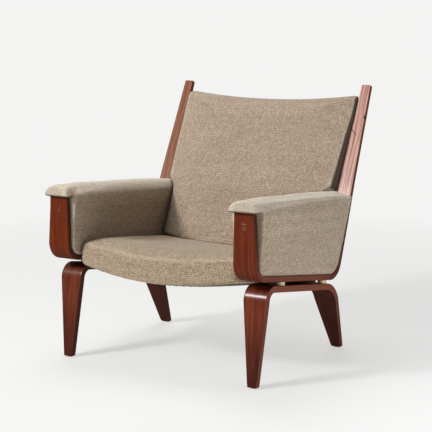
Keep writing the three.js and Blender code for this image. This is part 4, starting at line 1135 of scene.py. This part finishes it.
class CHAIR_OT_arm_pads(ChairOperator, Operator):
    """Fills the arm pads inside the bends of the side frames"""
    bl_idname = "chair.arm_pads"
    bl_label = "Arm pads"

    def build(self, scene):
        made = remeshed("arm_upholstery_right", "arm_pad_right", "arm_core_right", 0.0, ARM_VOXEL, ARM_DRAWN)
        mesh = made.data
        pairs = edge_pairs(mesh)
        points = smoothed(coordinates(mesh), pairs, 2)
        low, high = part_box("arm_pad_right")
        behind = POST_FACE + scene.chair_wood.side_thickness + 0.001

        def skyline(by, value, where, start, end):
            """The furthest value of the chosen points, along another direction."""
            places = np.arange(start, end, 0.005)
            most = np.array([value[where & (np.abs(by - place) < 0.005)].max(initial=-1) for place in places])
            return np.interp(by, places[most > -1], most[most > -1])

        def crown_line():
            return skyline(y, z, (x > 0.290) & (x < 0.320), low.y, high.y)

        # The edges of the block are rounded one after another, each from the shape so far
        x, y, z = points.T
        outer = skyline(z, x, (y > behind + 0.02) & (y < behind + 0.05), 0.27, 0.50)
        crown = crown_line()
        under_nose = step(-z, -0.474, -0.466)
        points = eased(points, outer - x, OUT, y - behind, FORWARD, 0.006, under_nose)
        near = np.clip(1 - (points[:, 1] - behind) / 0.010, 0, 1)
        points[:, 1] += 0.0035 * near * step(x, 0.305, 0.325) * step(z, 0.285, 0.33) * under_nose
        x, y, z = points.T
        upper = step(z, 0.44, 0.46)
        points = eased(points, crown - z, UP, x - low.x, IN, 0.032, upper * step(y, low.y + 0.01, low.y + 0.07))
        x, y, z = points.T
        points = eased(points, crown - z, UP, outer - x, OUT, 0.015, upper)
        x, y, z = points.T
        points = eased(points, crown - z, UP, outer - x, OUT, 0.026, upper * step(-y, -low.y - 0.08, -low.y - 0.02))
        x, y, z = points.T
        points = eased(points, crown - z, UP, y - low.y, FORWARD, 0.013, upper)
        corner = step(-y, -low.y - 0.06, -low.y - 0.01) * np.clip(1 - (outer - points[:, 0]) / 0.035, 0, 1) ** 2
        points[:, 2] -= 0.005 * corner * step(z, 0.474, 0.488)
        x, y, z = points.T
        rear = skyline(z, y, x > 0.30, 0.40, 0.50)
        points = eased(points, crown - z, UP, rear - y, BACK, 0.020, upper * step(x, 0.285, 0.31))
        rear_top = step(y, high.y - 0.14, high.y - 0.01) * step(crown - z, 0.03, 0.0)
        points[:, 2] -= 0.005 * rear_top * step(x, 0.285, 0.32)

        # A low crown, and a front inner corner that stands out a little
        x, y, z = points.T
        mid = (low.x + high.x) / 2
        arch = 1 - np.clip(np.abs(x - mid) / (mid - low.x), 0, 1) ** 2
        points[:, 2] += 0.0015 * arch * step(crown - z, 0.016, 0.0) * step(y, low.y, low.y + 0.09)
        to_corner = ((x - low.x) / 0.013) ** 2 + ((y - low.y) / 0.013) ** 2
        square = 0.0065 * np.exp(-to_corner) * step(z, 0.466, 0.474)
        for axis, share in enumerate((1, 0.5, 0.3)):
            points[:, axis] -= square * share
        x, y, z = points.T
        points = eased(points, z - NOSE_UNDERSIDE, DOWN, y - low.y, FORWARD, 0.008, step(-y, -behind, -behind + 0.004))

        # The flanks swell behind the post
        full = step(z, 0.38, 0.462) * step(-z, -0.486, -0.476) * step(-y, -behind - 0.22, -behind - 0.03)
        inside = step(-x, -0.285, -low.x - 0.004)
        points[:, 0] -= 0.0075 * full * inside * step(y, behind - 0.002, behind + 0.001)
        points[:, 0] += 0.0035 * full * step(x, 0.320, 0.332) * step(y, behind - 0.002, behind + 0.001)
        points = smoothed(points, pairs, 1)
        place_points(mesh, points)
        normals = coordinates(mesh, "normal")
        top = step(normals[:, 2], 0.2, 0.7) * step(points[:, 2], 0.40, 0.44)
        side = step(normals[:, 0], 0.3, 0.8)
        nose = step(-points[:, 1], -behind - 0.012, -behind) * step(points[:, 2], 0.472, 0.480)
        filled(made, np.clip(top * 0.0022 + side * 0.002 + nose * 0.0025, 0, ARM_PUFF), scene.chair_cloth.pressure)
        points = smoothed(coordinates(mesh), pairs, 1)
        lumps = soft_noise(points, 50, 37) * 0.0007 * np.clip(top + side, 0, 1)
        push_out(mesh, points, lumps + soft_noise(points, 170, 5) * 0.0009 * nose)

        x, y, z = points.T
        normals = coordinates(mesh, "normal")
        # The tops and the nose are lighter, partly faded cloth and partly painted light from above; the upper part of
        # the inner side is lighter as painted light from above.
        inner_top = 0.8 * step(z - crown_line(), -0.036, -0.022)
        painted_light_and_fade = np.maximum(step(normals[:, 2], 0.15, 0.95) * (1 - 0.1 * step(x, 0.29, 0.32)), 0.5 * nose)
        painted_light_and_fade = np.maximum(painted_light_and_fade, inner_top * step(-x, -0.292, -0.275)) * step(z, 0.44, 0.45)
        # A lighter line down the front inner edge, partly a painted highlight and partly a rubbed seam.
        front_edge = np.exp(-((x - low.x) / 0.005) ** 2 - ((y - behind) / 0.007) ** 2)
        corner = np.exp(-((z - 0.484) / 0.010) ** 2 - ((x - low.x) / 0.010) ** 2 - ((y - behind) / 0.012) ** 2)
        # Painted shade: a dark line under the front of the nose.
        under = step(-z, -0.4765, -0.4735) * step(z, 0.462, 0.468) * step(-y, -behind - 0.001, -behind + 0.003)
        rubbed = np.maximum(painted_light_and_fade, 0.6 * front_edge) * (1 - under)
        finished_skin(made, pitched(math.radians(5)), rubbed, corner, under)
        pair = (made, mirrored(made, "arm_upholstery_left"))
        for arm, name, offset in zip(pair, SIDES, ((0.7, 0.4, 0), (0.2, 0.9, 0))):
            # The dark colour is the painted shade under the nose.
            finish_piece(arm, wool_material(f"Arm wool {name}", (0.97, 0.985, 0.96), offset, hem_or_shade=srgb(58, 48, 34)),
                         "arm_cloth", f"arm_pad_{name}", padded=0.8)


class CHAIR_OT_hidden_frames(ChairOperator, Operator):
    """Places the boards and blocks inside the upholstery, and finishes the cleats and hidden screws"""
    bl_idname = "chair.hidden_frames"
    bl_label = "Hidden frames"

    def build(self, scene):
        beech = plain_wood_material("Frame beech", srgb(198, 158, 112), srgb(160, 116, 76))
        # Painted shade: the seat cleat is coloured dark because it stands in shade under the seat.
        shaded = plain_wood_material("Stained cleat", srgb(74, 46, 32), srgb(44, 26, 18))
        ply = plain_wood_material("Shell plywood", srgb(206, 172, 122), srgb(170, 130, 84), (90, 2.5, 90))
        steel = metal_material("Screw steel", scene.chair_fittings.steel, 0.35)
        for name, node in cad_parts.items():
            for start, material in (("seat_cleat", shaded), ("cleat_", steel), ("post_screw", steel)):
                if name.startswith(start):
                    for place in node.material_slots:
                        place.material = material
        for part in ("seat", "back"):
            finish_piece(inner_board(f"{part}_board", f"{part}_shell", BOARD_DRAWN), ply, "plywood", f"{part}_shell")
        for side in SIDES:
            core = f"arm_core_{side}"
            finish_piece(inner_board(f"arm_block_{side}", core, BLOCK_DRAWN), beech, "core_wood", core)


# Turned fittings, stitches and staples


def lathe(name, profile, sides, hexagon=()):
    """A turned template on the Z axis from (radius, height) pairs; rings named in hexagon are six-sided."""
    points, rings, faces = [], [], []
    for k, (radius, height) in enumerate(profile):
        turns = [0] if radius == 0 else [2 * math.pi * s / sides for s in range(sides)]
        rings.append(range(len(points), len(points) + len(turns)))
        for angle in turns:
            reach = radius / math.cos(angle % (math.pi / 3) - math.pi / 6) if k in hexagon else radius
            points.append((reach * math.cos(angle), reach * math.sin(angle), height))
    if len(rings[0]) > 1:
        rings.append(rings[0])
    for below, above in zip(rings, rings[1:]):
        for s in range(sides):
            after = (s + 1) % sides
            if len(below) == 1:
                faces.append((below[0], above[after], above[s]))
            elif len(above) == 1:
                faces.append((below[s], below[after], above[0]))
            else:
                faces.append((below[s], below[after], above[after], above[s]))
    return outward(mesh_object(name, points, faces))


def tube(name, path, radius):
    """A closed round wire along points in the XZ plane, thinner at its ends."""
    path = np.array(path, dtype=float)
    last = len(path) - 1
    turns = [2 * math.pi * s / WIRE_SIDES for s in range(WIRE_SIDES)]
    rings = []
    for k, point in enumerate(path):
        run = unit(path[min(k + 1, last)] - path[max(k - 1, 0)])
        across = np.array((-run[2], 0, run[0]))
        thin = radius * (0.6 if k in (0, last) else 1)
        rings.append([point + thin * (math.cos(a) * across + math.sin(a) * np.array(BACK)) for a in turns])
    return loft(name, rings)


def fitting_tree(in_rows):
    """Stands a fitting on each point, along the point's axis. In rows it sets stitches or staples instead, at
    even steps along a line and flat on the face that the line lies on."""
    name = "Rows along a line" if in_rows else "Fittings on points"
    if name in bpy.data.node_groups:
        return bpy.data.node_groups[name]
    t, given, out = group_tree(name, "GeometryNodeTree", (
        ("Geometry", "Geometry", None), ("Fitting", "Object", None), ("Finish", "Material", None),
        ("Spacing", "Float", 0.01), ("Turn", "Float", 2 * math.pi), ("Seed", "Int", 5)), [("Geometry", "Geometry")])
    points, least = given["Geometry"], 0.0
    axis = t.node("GeometryNodeInputNamedAttribute", {"Name": "Axis"}, data_type="FLOAT_VECTOR")
    facing = t.node("FunctionNodeAlignRotationToVector", {"Vector": axis}, axis="Z")
    if in_rows:
        curve = t.node("GeometryNodeMeshToCurve", {"Mesh": points})
        points = t.node("GeometryNodeResampleCurve", {"Curve": curve, "Length": given["Spacing"]}, mode="LENGTH")
        facing = t.node("FunctionNodeAlignRotationToVector", {
            "Rotation": facing, "Vector": t.node("GeometryNodeInputTangent")}, axis="X", pivot_axis="Z")
        least = t.times(given["Turn"], -1.0)
    draw = t.node("FunctionNodeRandomValue", {2: least, 3: given["Turn"], "Seed": given["Seed"]}, data_type="FLOAT")
    spin = t.node("FunctionNodeAxisAngleToRotation", {"Axis": UP, "Angle": draw.outputs[1]})
    turned = t.node("FunctionNodeRotateRotation", {"Rotation": facing, "Rotate By": spin}, rotation_space="LOCAL")
    template = t.node("GeometryNodeObjectInfo", {"Object": given["Fitting"]})
    placed = t.node("GeometryNodeInstanceOnPoints", {
        "Points": points, "Instance": template.outputs["Geometry"], "Rotation": turned})
    real = t.node("GeometryNodeRealizeInstances", {"Geometry": placed})
    t.feed(out.inputs["Geometry"], t.node("GeometryNodeSetMaterial", {"Geometry": real, "Material": given["Finish"]}))
    return t.tree


def grown(name, points, axes, template, material, in_rows=False, **values):
    """Sets copies of the template on points that keep an axis each, as a plain mesh."""
    edges = [(k, k + 1) for k in range(len(points) - 1)] if in_rows else []
    made = mesh_object(name, points, [], edges)
    keep(made.data, "Axis", axes)
    work = made.modifiers.new("fittings", "NODES")
    work.node_group = fitting_tree(in_rows)
    values.update(Fitting=template, Finish=material)
    for item in work.node_group.interface.items_tree:
        if item.in_out == "INPUT" and item.name in values:
            work[item.identifier] = values[item.name]
    settled(made)
    bpy.data.objects.remove(template)
    return made


def turned_piece(name, points, axes, template, material, slot, nodes):
    made = grown(name, points, axes, template, material)
    made.data.shade_smooth()
    made.data.set_sharp_from_angle(angle=SHARP_FITTING)
    finish_piece(made, material, slot, *nodes)


def rows_of(name, runs, axis, lift, wire, radius, material, seed, turn, spacing):
    """Bent wires in rows along runs of points, lifted off the face that they lie on, as one mesh.

    The wire is (place, height) pairs from an end to its middle."""
    axis = np.array(axis)
    path = [(-x, 0, z) for x, z in wire] + [(x, 0, z) for x, z in wire[-2::-1]]
    whole = bmesh.new()
    for number, run in enumerate(runs):
        row = grown("row", run + axis * lift, [axis] * len(run), tube("wire", path, radius), material, in_rows=True,
                    Seed=number + seed, Turn=turn, Spacing=spacing)
        whole.from_mesh(row.data)
        bpy.data.objects.remove(row)
    made = from_shell(name, whole)
    made.data.shade_smooth()
    return made


class CHAIR_OT_fittings(ChairOperator, Operator):
    """Turns the spacers, bolts, plugs, back screws and glides, and sets them in their places"""
    bl_idname = "chair.fittings"
    bl_label = "Turned fittings"

    def build(self, scene):
        fittings = scene.chair_fittings
        up = np.array(RAIL_UP)
        half = SPACER_HEIGHT / 2

        def named(start):
            nodes = [f"{start}_{end}_{side}" for end in ENDS for side in SIDES]
            return nodes, [np.array(box_middle(node)) for node in nodes]

        spacers, centres = named("spacer")
        ring = [(0.0043, -half), (0.0116, -half), (0.0122, -half + 0.0003), (0.0125, -half + 0.0009),
                (0.0125, half - 0.0009), (0.0122, half - 0.0003), (0.0116, half), (0.0043, half)]
        turned_piece("spacer_rings", centres, [up] * 4, lathe("ring", ring, 40),
                     metal_material("Spacer brass", fittings.brass, 0.5, dulled=0.95), "spacer", spacers)

        heads = [centre - up * (half + JOINT + scene.chair_wood.leg_thickness) for centre in centres]
        bolt = [(0, 0.0033), (0.0034, 0.0033), (0.0034, 0.0005), (0.0069, 0.0005), (0.0075, 0.0010),
                (0.0075, 0.0048), (0.0040, 0.0048), (0.0040, 0.0704), (0.0034, 0.0710), (0, 0.0710)]
        turned_piece("frame_bolts", heads, [up] * 4, lathe("bolt", bolt, 24, hexagon=(1, 2)),
                     metal_material("Bolt steel", fittings.steel, 0.35), "bolt_steel", named("frame_bolt")[0])

        plugs = [f"post_plug_{side}" for side in SIDES]
        plug = [(0, -0.0040), (0.0072, -0.0040), (0.0075, -0.0036), (0.0075, -0.0006), (0.0071, -0.0001),
                (0.0045, 0.0001), (0, 0.0002)]
        turned_piece("post_plugs", [np.array(box_middle(node)) - np.array((0, 0.002, 0)) for node in plugs],
                     [FORWARD] * 2, lathe("plug", plug, 32), plug_material(), "plug_wood", plugs)

        screws, heads, axes, lengths = [], [], [], []
        for height in ("upper", "lower"):
            for side, axis in zip(SIDES, (OUT, IN)):
                node = f"back_screw_{height}_{side}"
                low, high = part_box(node)
                middle = box_middle(node)
                screws.append(node)
                heads.append(((high if axis == OUT else low).x, middle.y, middle.z))
                axes.append(axis)
                lengths.append(high.x - low.x)
        tip = 0.001 - max(lengths)
        screw = [(0, tip), (0.0010, tip + 0.003), (0.0022, tip + 0.008), (0.0022, -0.0034), (0.0030, -0.0030),
                 (0.0049, -0.0012), (0.0050, -0.0009), (0.0050, -0.0006), (0.0040, -0.0001), (0, 0.0002)]
        corners = ((-0.006, -0.0006), (0.006, -0.0006), (0.006, 0.0006), (-0.006, 0.0006))
        slot = mesh_object("slot", [(x, y, z) for z in (-0.0012, 0.002) for x, y in corners], [
            (3, 2, 1, 0), (4, 5, 6, 7), (0, 1, 5, 4), (1, 2, 6, 5), (2, 3, 7, 6), (3, 0, 4, 7)])
        turned_piece("back_screws", heads, axes, carved(lathe("screw", screw, 24), [slot]),
                     metal_material("Screw brass", tinted(fittings.brass, 0.8), 0.3), "screw_brass", screws)

        glides, middles = named("glide")
        glide = [(0, 0), (0.0060, 0), (0.0074, 0.0005), (0.0080, 0.0013), (0.0080, 0.0025), (0.0019, 0.0025),
                 (0.0016, 0.0140), (0, 0.0145)]
        turned_piece("glides", [(*middle[:2], 0) for middle in middles], [UP] * 4, lathe("glide", glide, 28),
                     glide_material(), "glide", glides)


def grid_sheet(name, rows, thickness):
    """A sheet over a grid of points, with its weave map, its flat size and its flat area."""
    down, across = rows.shape[:2]
    faces = [(r * across + c, r * across + c + 1, (r + 1) * across + c + 1, (r + 1) * across + c)
             for r in range(down - 1) for c in range(across - 1)]
    made = mesh_object(name, rows.reshape(-1, 3), faces)
    steps = np.linalg.norm(np.diff(rows, axis=1), axis=2)
    along = np.concatenate((np.zeros((down, 1)), np.cumsum(steps, axis=1)), axis=1)
    along -= along[:, -1:] / 2
    fall = np.linalg.norm(np.diff(rows[:, across // 2], axis=0), axis=1)
    fallen = np.concatenate(([0], np.cumsum(fall)))
    flat = np.stack((along, np.broadcast_to(fallen[:, None], along.shape)), axis=2).reshape(-1, 2)
    keep_weave(made.data, flat[corner_points(made.data)])
    area = sum(face.area for face in made.data.polygons)
    widest = (along[:, -1] - along[:, 0]).max()
    longest = max(np.linalg.norm(np.diff(rows[:, c], axis=0), axis=1).sum() for c in range(across))
    wall = made.modifiers.new("cloth", "SOLIDIFY")
    wall.thickness, wall.offset = thickness, 0.0
    return made, (float(widest), float(max(longest, area / widest))), float(area)


class CHAIR_OT_back_panel(ChairOperator, Operator):
    """Stretches the cloth panel over the back of the shell and stitches it down"""
    bl_idname = "chair.back_panel"
    bl_label = "Back panel"

    def build(self, scene):
        thickness = scene.chair_wood.side_thickness
        line = side_line(thickness)
        face = line["points"] + np.array([left_of(way) for way in line["directions"]]) * thickness
        inner = taper(line, SIDE_TAPER, line["lengths"])[0]
        rear = line["lengths"] >= line["joints"][4] - 1e-6
        low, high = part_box("back_cover")
        columns, level_count = 28, 44

        def panel_point(share, level):
            front = np.interp(level, face[rear][:, 1], face[rear][:, 0]) + POST_FACE
            half = np.interp(level, face[rear][:, 1], inner[rear]) - 0.0010
            x = half * math.sin((share - 0.5) * math.pi)
            bow = 1 - (x / half) ** 2
            dip = PANEL_DIP * float(step(level, 0.452, 0.742))
            return np.array((x, front + PANEL_DEPTH + PANEL_BOW * bow, level - dip * bow))

        levels = np.linspace(low.z + 0.001, high.z - 0.0005, level_count)
        rows = np.array([[panel_point(c / columns, level) for c in range(columns + 1)] for level in levels])
        made, flat, area = grid_sheet("back_panel", rows, 0.0010)
        finish_piece(made, wool_material("Back panel wool", (0.90,) * 3, (0.5, 0.1, 0), marks=False),
                     "back_cloth_cover", "back_cover")

        borders = ((rows[1:-1, 0], rows[1:-1, 1]), (rows[1:-1, -1], rows[1:-1, -2]), (rows[-1, 1:-1], rows[-2, 1:-1]))
        thread = thread_material()
        seams = [edge + (next_in - edge) * 0.35 for edge, next_in in borders]
        stitches = rows_of("back_stitches", seams, BACK, 0.0007, ((0.0022, -0.0004), (0.0014, 0.0004), (0, 0.0007)),
                           0.00045, thread, 3, 0.16, scene.chair_fittings.stitch_spacing)
        finish_piece(stitches, thread, "back_cloth_cover")


class CHAIR_OT_dust_cloth(ChairOperator, Operator):
    """Tacks the thin dust cloth under the seat with staples"""
    bl_idname = "chair.dust_cloth"
    bl_label = "Dust cloth"

    def build(self, scene):
        fittings = scene.chair_fittings
        back, up = np.array(RAIL_BACK), np.array(RAIL_UP)
        start = np.array((0, POST_FACE, RAIL_FRONT_HEIGHT)) - up * SEAT_DROP
        across, along = [c / 20 - 1 for c in range(41)], [r / 36 for r in range(37)]

        def cloth_point(column, row):
            """A place under the seat, from -1 to 1 across and 0 to 1 along."""
            x = column * CLOTH_HALF
            front = SEAT_FRONT - SEAT_BOW * (1 - (x / SEAT_HALF) ** 2) + CLOTH_RIM
            sag = (1 - column ** 4) * (1 - (2 * row - 1) ** 4)
            ripple = 0.0005 * math.sin(x * 95 + 3 * math.sin(row * 9)) * (1 - sag)
            dip = SEAT_DISH * (1 - abs(x / SEAT_HALF) ** SEAT_DISH_POWER) + 0.0010 + 0.0035 * sag + ripple * sag
            return start + np.array((x, 0, 0)) + back * (front + (CLOTH_REAR - front) * row) - up * dip

        rows = np.array([[cloth_point(column, row) for column in across] for row in along])
        made, flat, area = grid_sheet("dust_cloth", rows, 0.0006)
        made.data.flip_normals()
        finish_piece(made, cloth_material("Dust cloth cotton", scene.chair_cloth.dust, 0.0016), "dust_cloth",
                     "seat_cloth")

        steel = metal_material("Staple steel", fittings.steel, 0.3)
        edges = [[cloth_point(column, row) for column in across[1:-1]] for row in (0.018, 0.982)]
        edges += [[cloth_point(column, row) for row in along[1:-1]] for column in (-0.965, 0.965)]
        staples = rows_of("staples", [np.array(edge) for edge in edges], -up, 0.0005,
                          ((0.0050, -0.0012), (0.0048, 0.0002), (0, 0.0003)), 0.0004, steel, 11, 0.3,
                          fittings.staple_spacing)
        finish_piece(staples, steel, "bolt_steel")


def area_light(name, place, target, size, power):
    lamp = bpy.data.lights.new(name, "AREA")
    lamp.shape, lamp.energy = "RECTANGLE", power
    lamp.size, lamp.size_y = size
    made = linked(name, lamp)
    made.location = place
    made.rotation_euler = (Vector(target) - Vector(place)).to_track_quat("-Z", "Y").to_euler()
    made.visible_camera = False


class CHAIR_OT_stage(ChairOperator, Operator):
    """Sets up the pale floor, the soft lights and the camera"""
    bl_idname = "chair.stage"
    bl_label = "Stage"

    def build(self, scene):
        stage = scene.chair_stage
        scene.view_settings.view_transform = "Standard"
        scene.view_settings.look = "None"
        disc = bmesh.new()
        bmesh.ops.create_circle(disc, cap_ends=True, segments=96, radius=9.0)
        floor = from_shell("floor", disc)

        # The floor shows pale to the camera, gives the chair its own glow, and fades out round it
        t = new_material("Floor paper")
        place, path = t.place(), t.node("LightPath").outputs
        grit = t.spread(t.noise(place, 30), 0.3, 0.7, 0, 0.02)
        sheet = t.mixed(grit, tinted(stage.paper, 0.42), srgb(160, 160, 158))
        held_back = t.times_plus(path["Is Glossy Ray"], 0.8, t.times(path["Is Camera Ray"], 0.14))
        glow = t.times_plus(path["Is Diffuse Ray"], stage.floor_glow - 0.06, 0.06)
        solid = t.spread(t.vector("LENGTH", place), 0.9, 2.7, 1, 0)
        above = t.maths("SUBTRACT", 1.0, t.node("NewGeometry").outputs["Backfacing"])
        floor.data.materials.append(t.surface(t.mixed(held_back, sheet, ORIGIN), 1.0, more={
            "Specular IOR Level": 0.0, "Emission Color": stage.paper, "Alpha": t.times(solid, above),
            "Emission Strength": t.times_plus(path["Is Camera Ray"], 0.532, glow)}))

        world = scene.world = bpy.data.worlds.new("Studio")
        world.use_nodes = True
        world.node_tree.nodes.clear()
        t = Tree(world.node_tree)
        lit, seen = (t.node("Background", {"Color": stage.paper, "Strength": power}) for power in (stage.room, 1.0))
        mixer = t.node("MixShader", {0: t.node("LightPath").outputs["Is Camera Ray"], 1: lit, 2: seen})
        t.node("OutputWorld", {"Surface": mixer})

        area_light("main light", (-1.8, -3.3, 2.7), (0, 0, 0.35), (0.55, 0.55), stage.key_power)
        area_light("left light", (-1.3, -2.4, 2.25), (0, 0, 0.35), (1.5, 1.2), stage.left_power)
        area_light("top light", (-0.8, 0.9, 3.2), (0, 0, 0.3), (1.9, 2.2), stage.top_power)
        area_light("side light", (1.25, -0.35, 0.56), (0.3, -0.3, 0.42), (1.6, 0.12), stage.side_power)

        camera = bpy.data.cameras.new("camera")
        camera.lens, camera.sensor_width = 102.03, 36.0
        camera.clip_start, camera.clip_end = 0.05, 50
        made = scene.camera = linked("camera", camera)
        made.location = (1.85225, -3.00975, 0.93225)
        made.rotation_euler = (math.radians(81.348), 0, math.radians(31.571))


class CHAIR_PT_build(Panel):
    """Lists the steps that build the chair"""
    bl_idname = "CHAIR_PT_build"
    bl_label = "Bent-frame lounge chair"
    bl_space_type = "VIEW_3D"
    bl_region_type = "UI"
    bl_category = "Chair"

    def draw(self, context):
        for group in SETTINGS:
            box = self.layout.box()
            settings = getattr(context.scene, group)
            for name in settings.__annotations__:
                box.prop(settings, name)
        for made in STEPS:
            self.layout.operator(made.bl_idname)


STEPS = (
    CHAIR_OT_stage, CHAIR_OT_hidden_frames, CHAIR_OT_side_frames, CHAIR_OT_leg_frames, CHAIR_OT_seat_cushion,
    CHAIR_OT_back_cushion, CHAIR_OT_arm_pads, CHAIR_OT_fittings, CHAIR_OT_back_panel, CHAIR_OT_dust_cloth,
)
SETTINGS = {
    "chair_wood": ChairWoodSettings,
    "chair_cloth": ChairClothSettings,
    "chair_fittings": ChairFittingSettings,
    "chair_stage": ChairStageSettings,
}
CLASSES = (*SETTINGS.values(), *STEPS, CHAIR_PT_build)


def register():
    for made in CLASSES:
        bpy.utils.register_class(made)
    for name, group in SETTINGS.items():
        setattr(bpy.types.Scene, name, PointerProperty(type=group))


def unregister():
    for name in SETTINGS:
        delattr(bpy.types.Scene, name)
    for made in reversed(CLASSES):
        bpy.utils.unregister_class(made)


def main():
    register()
    for made in STEPS:
        getattr(bpy.ops.chair, made.bl_idname.partition(".")[2])()


if __name__ == "__main__":
    main()
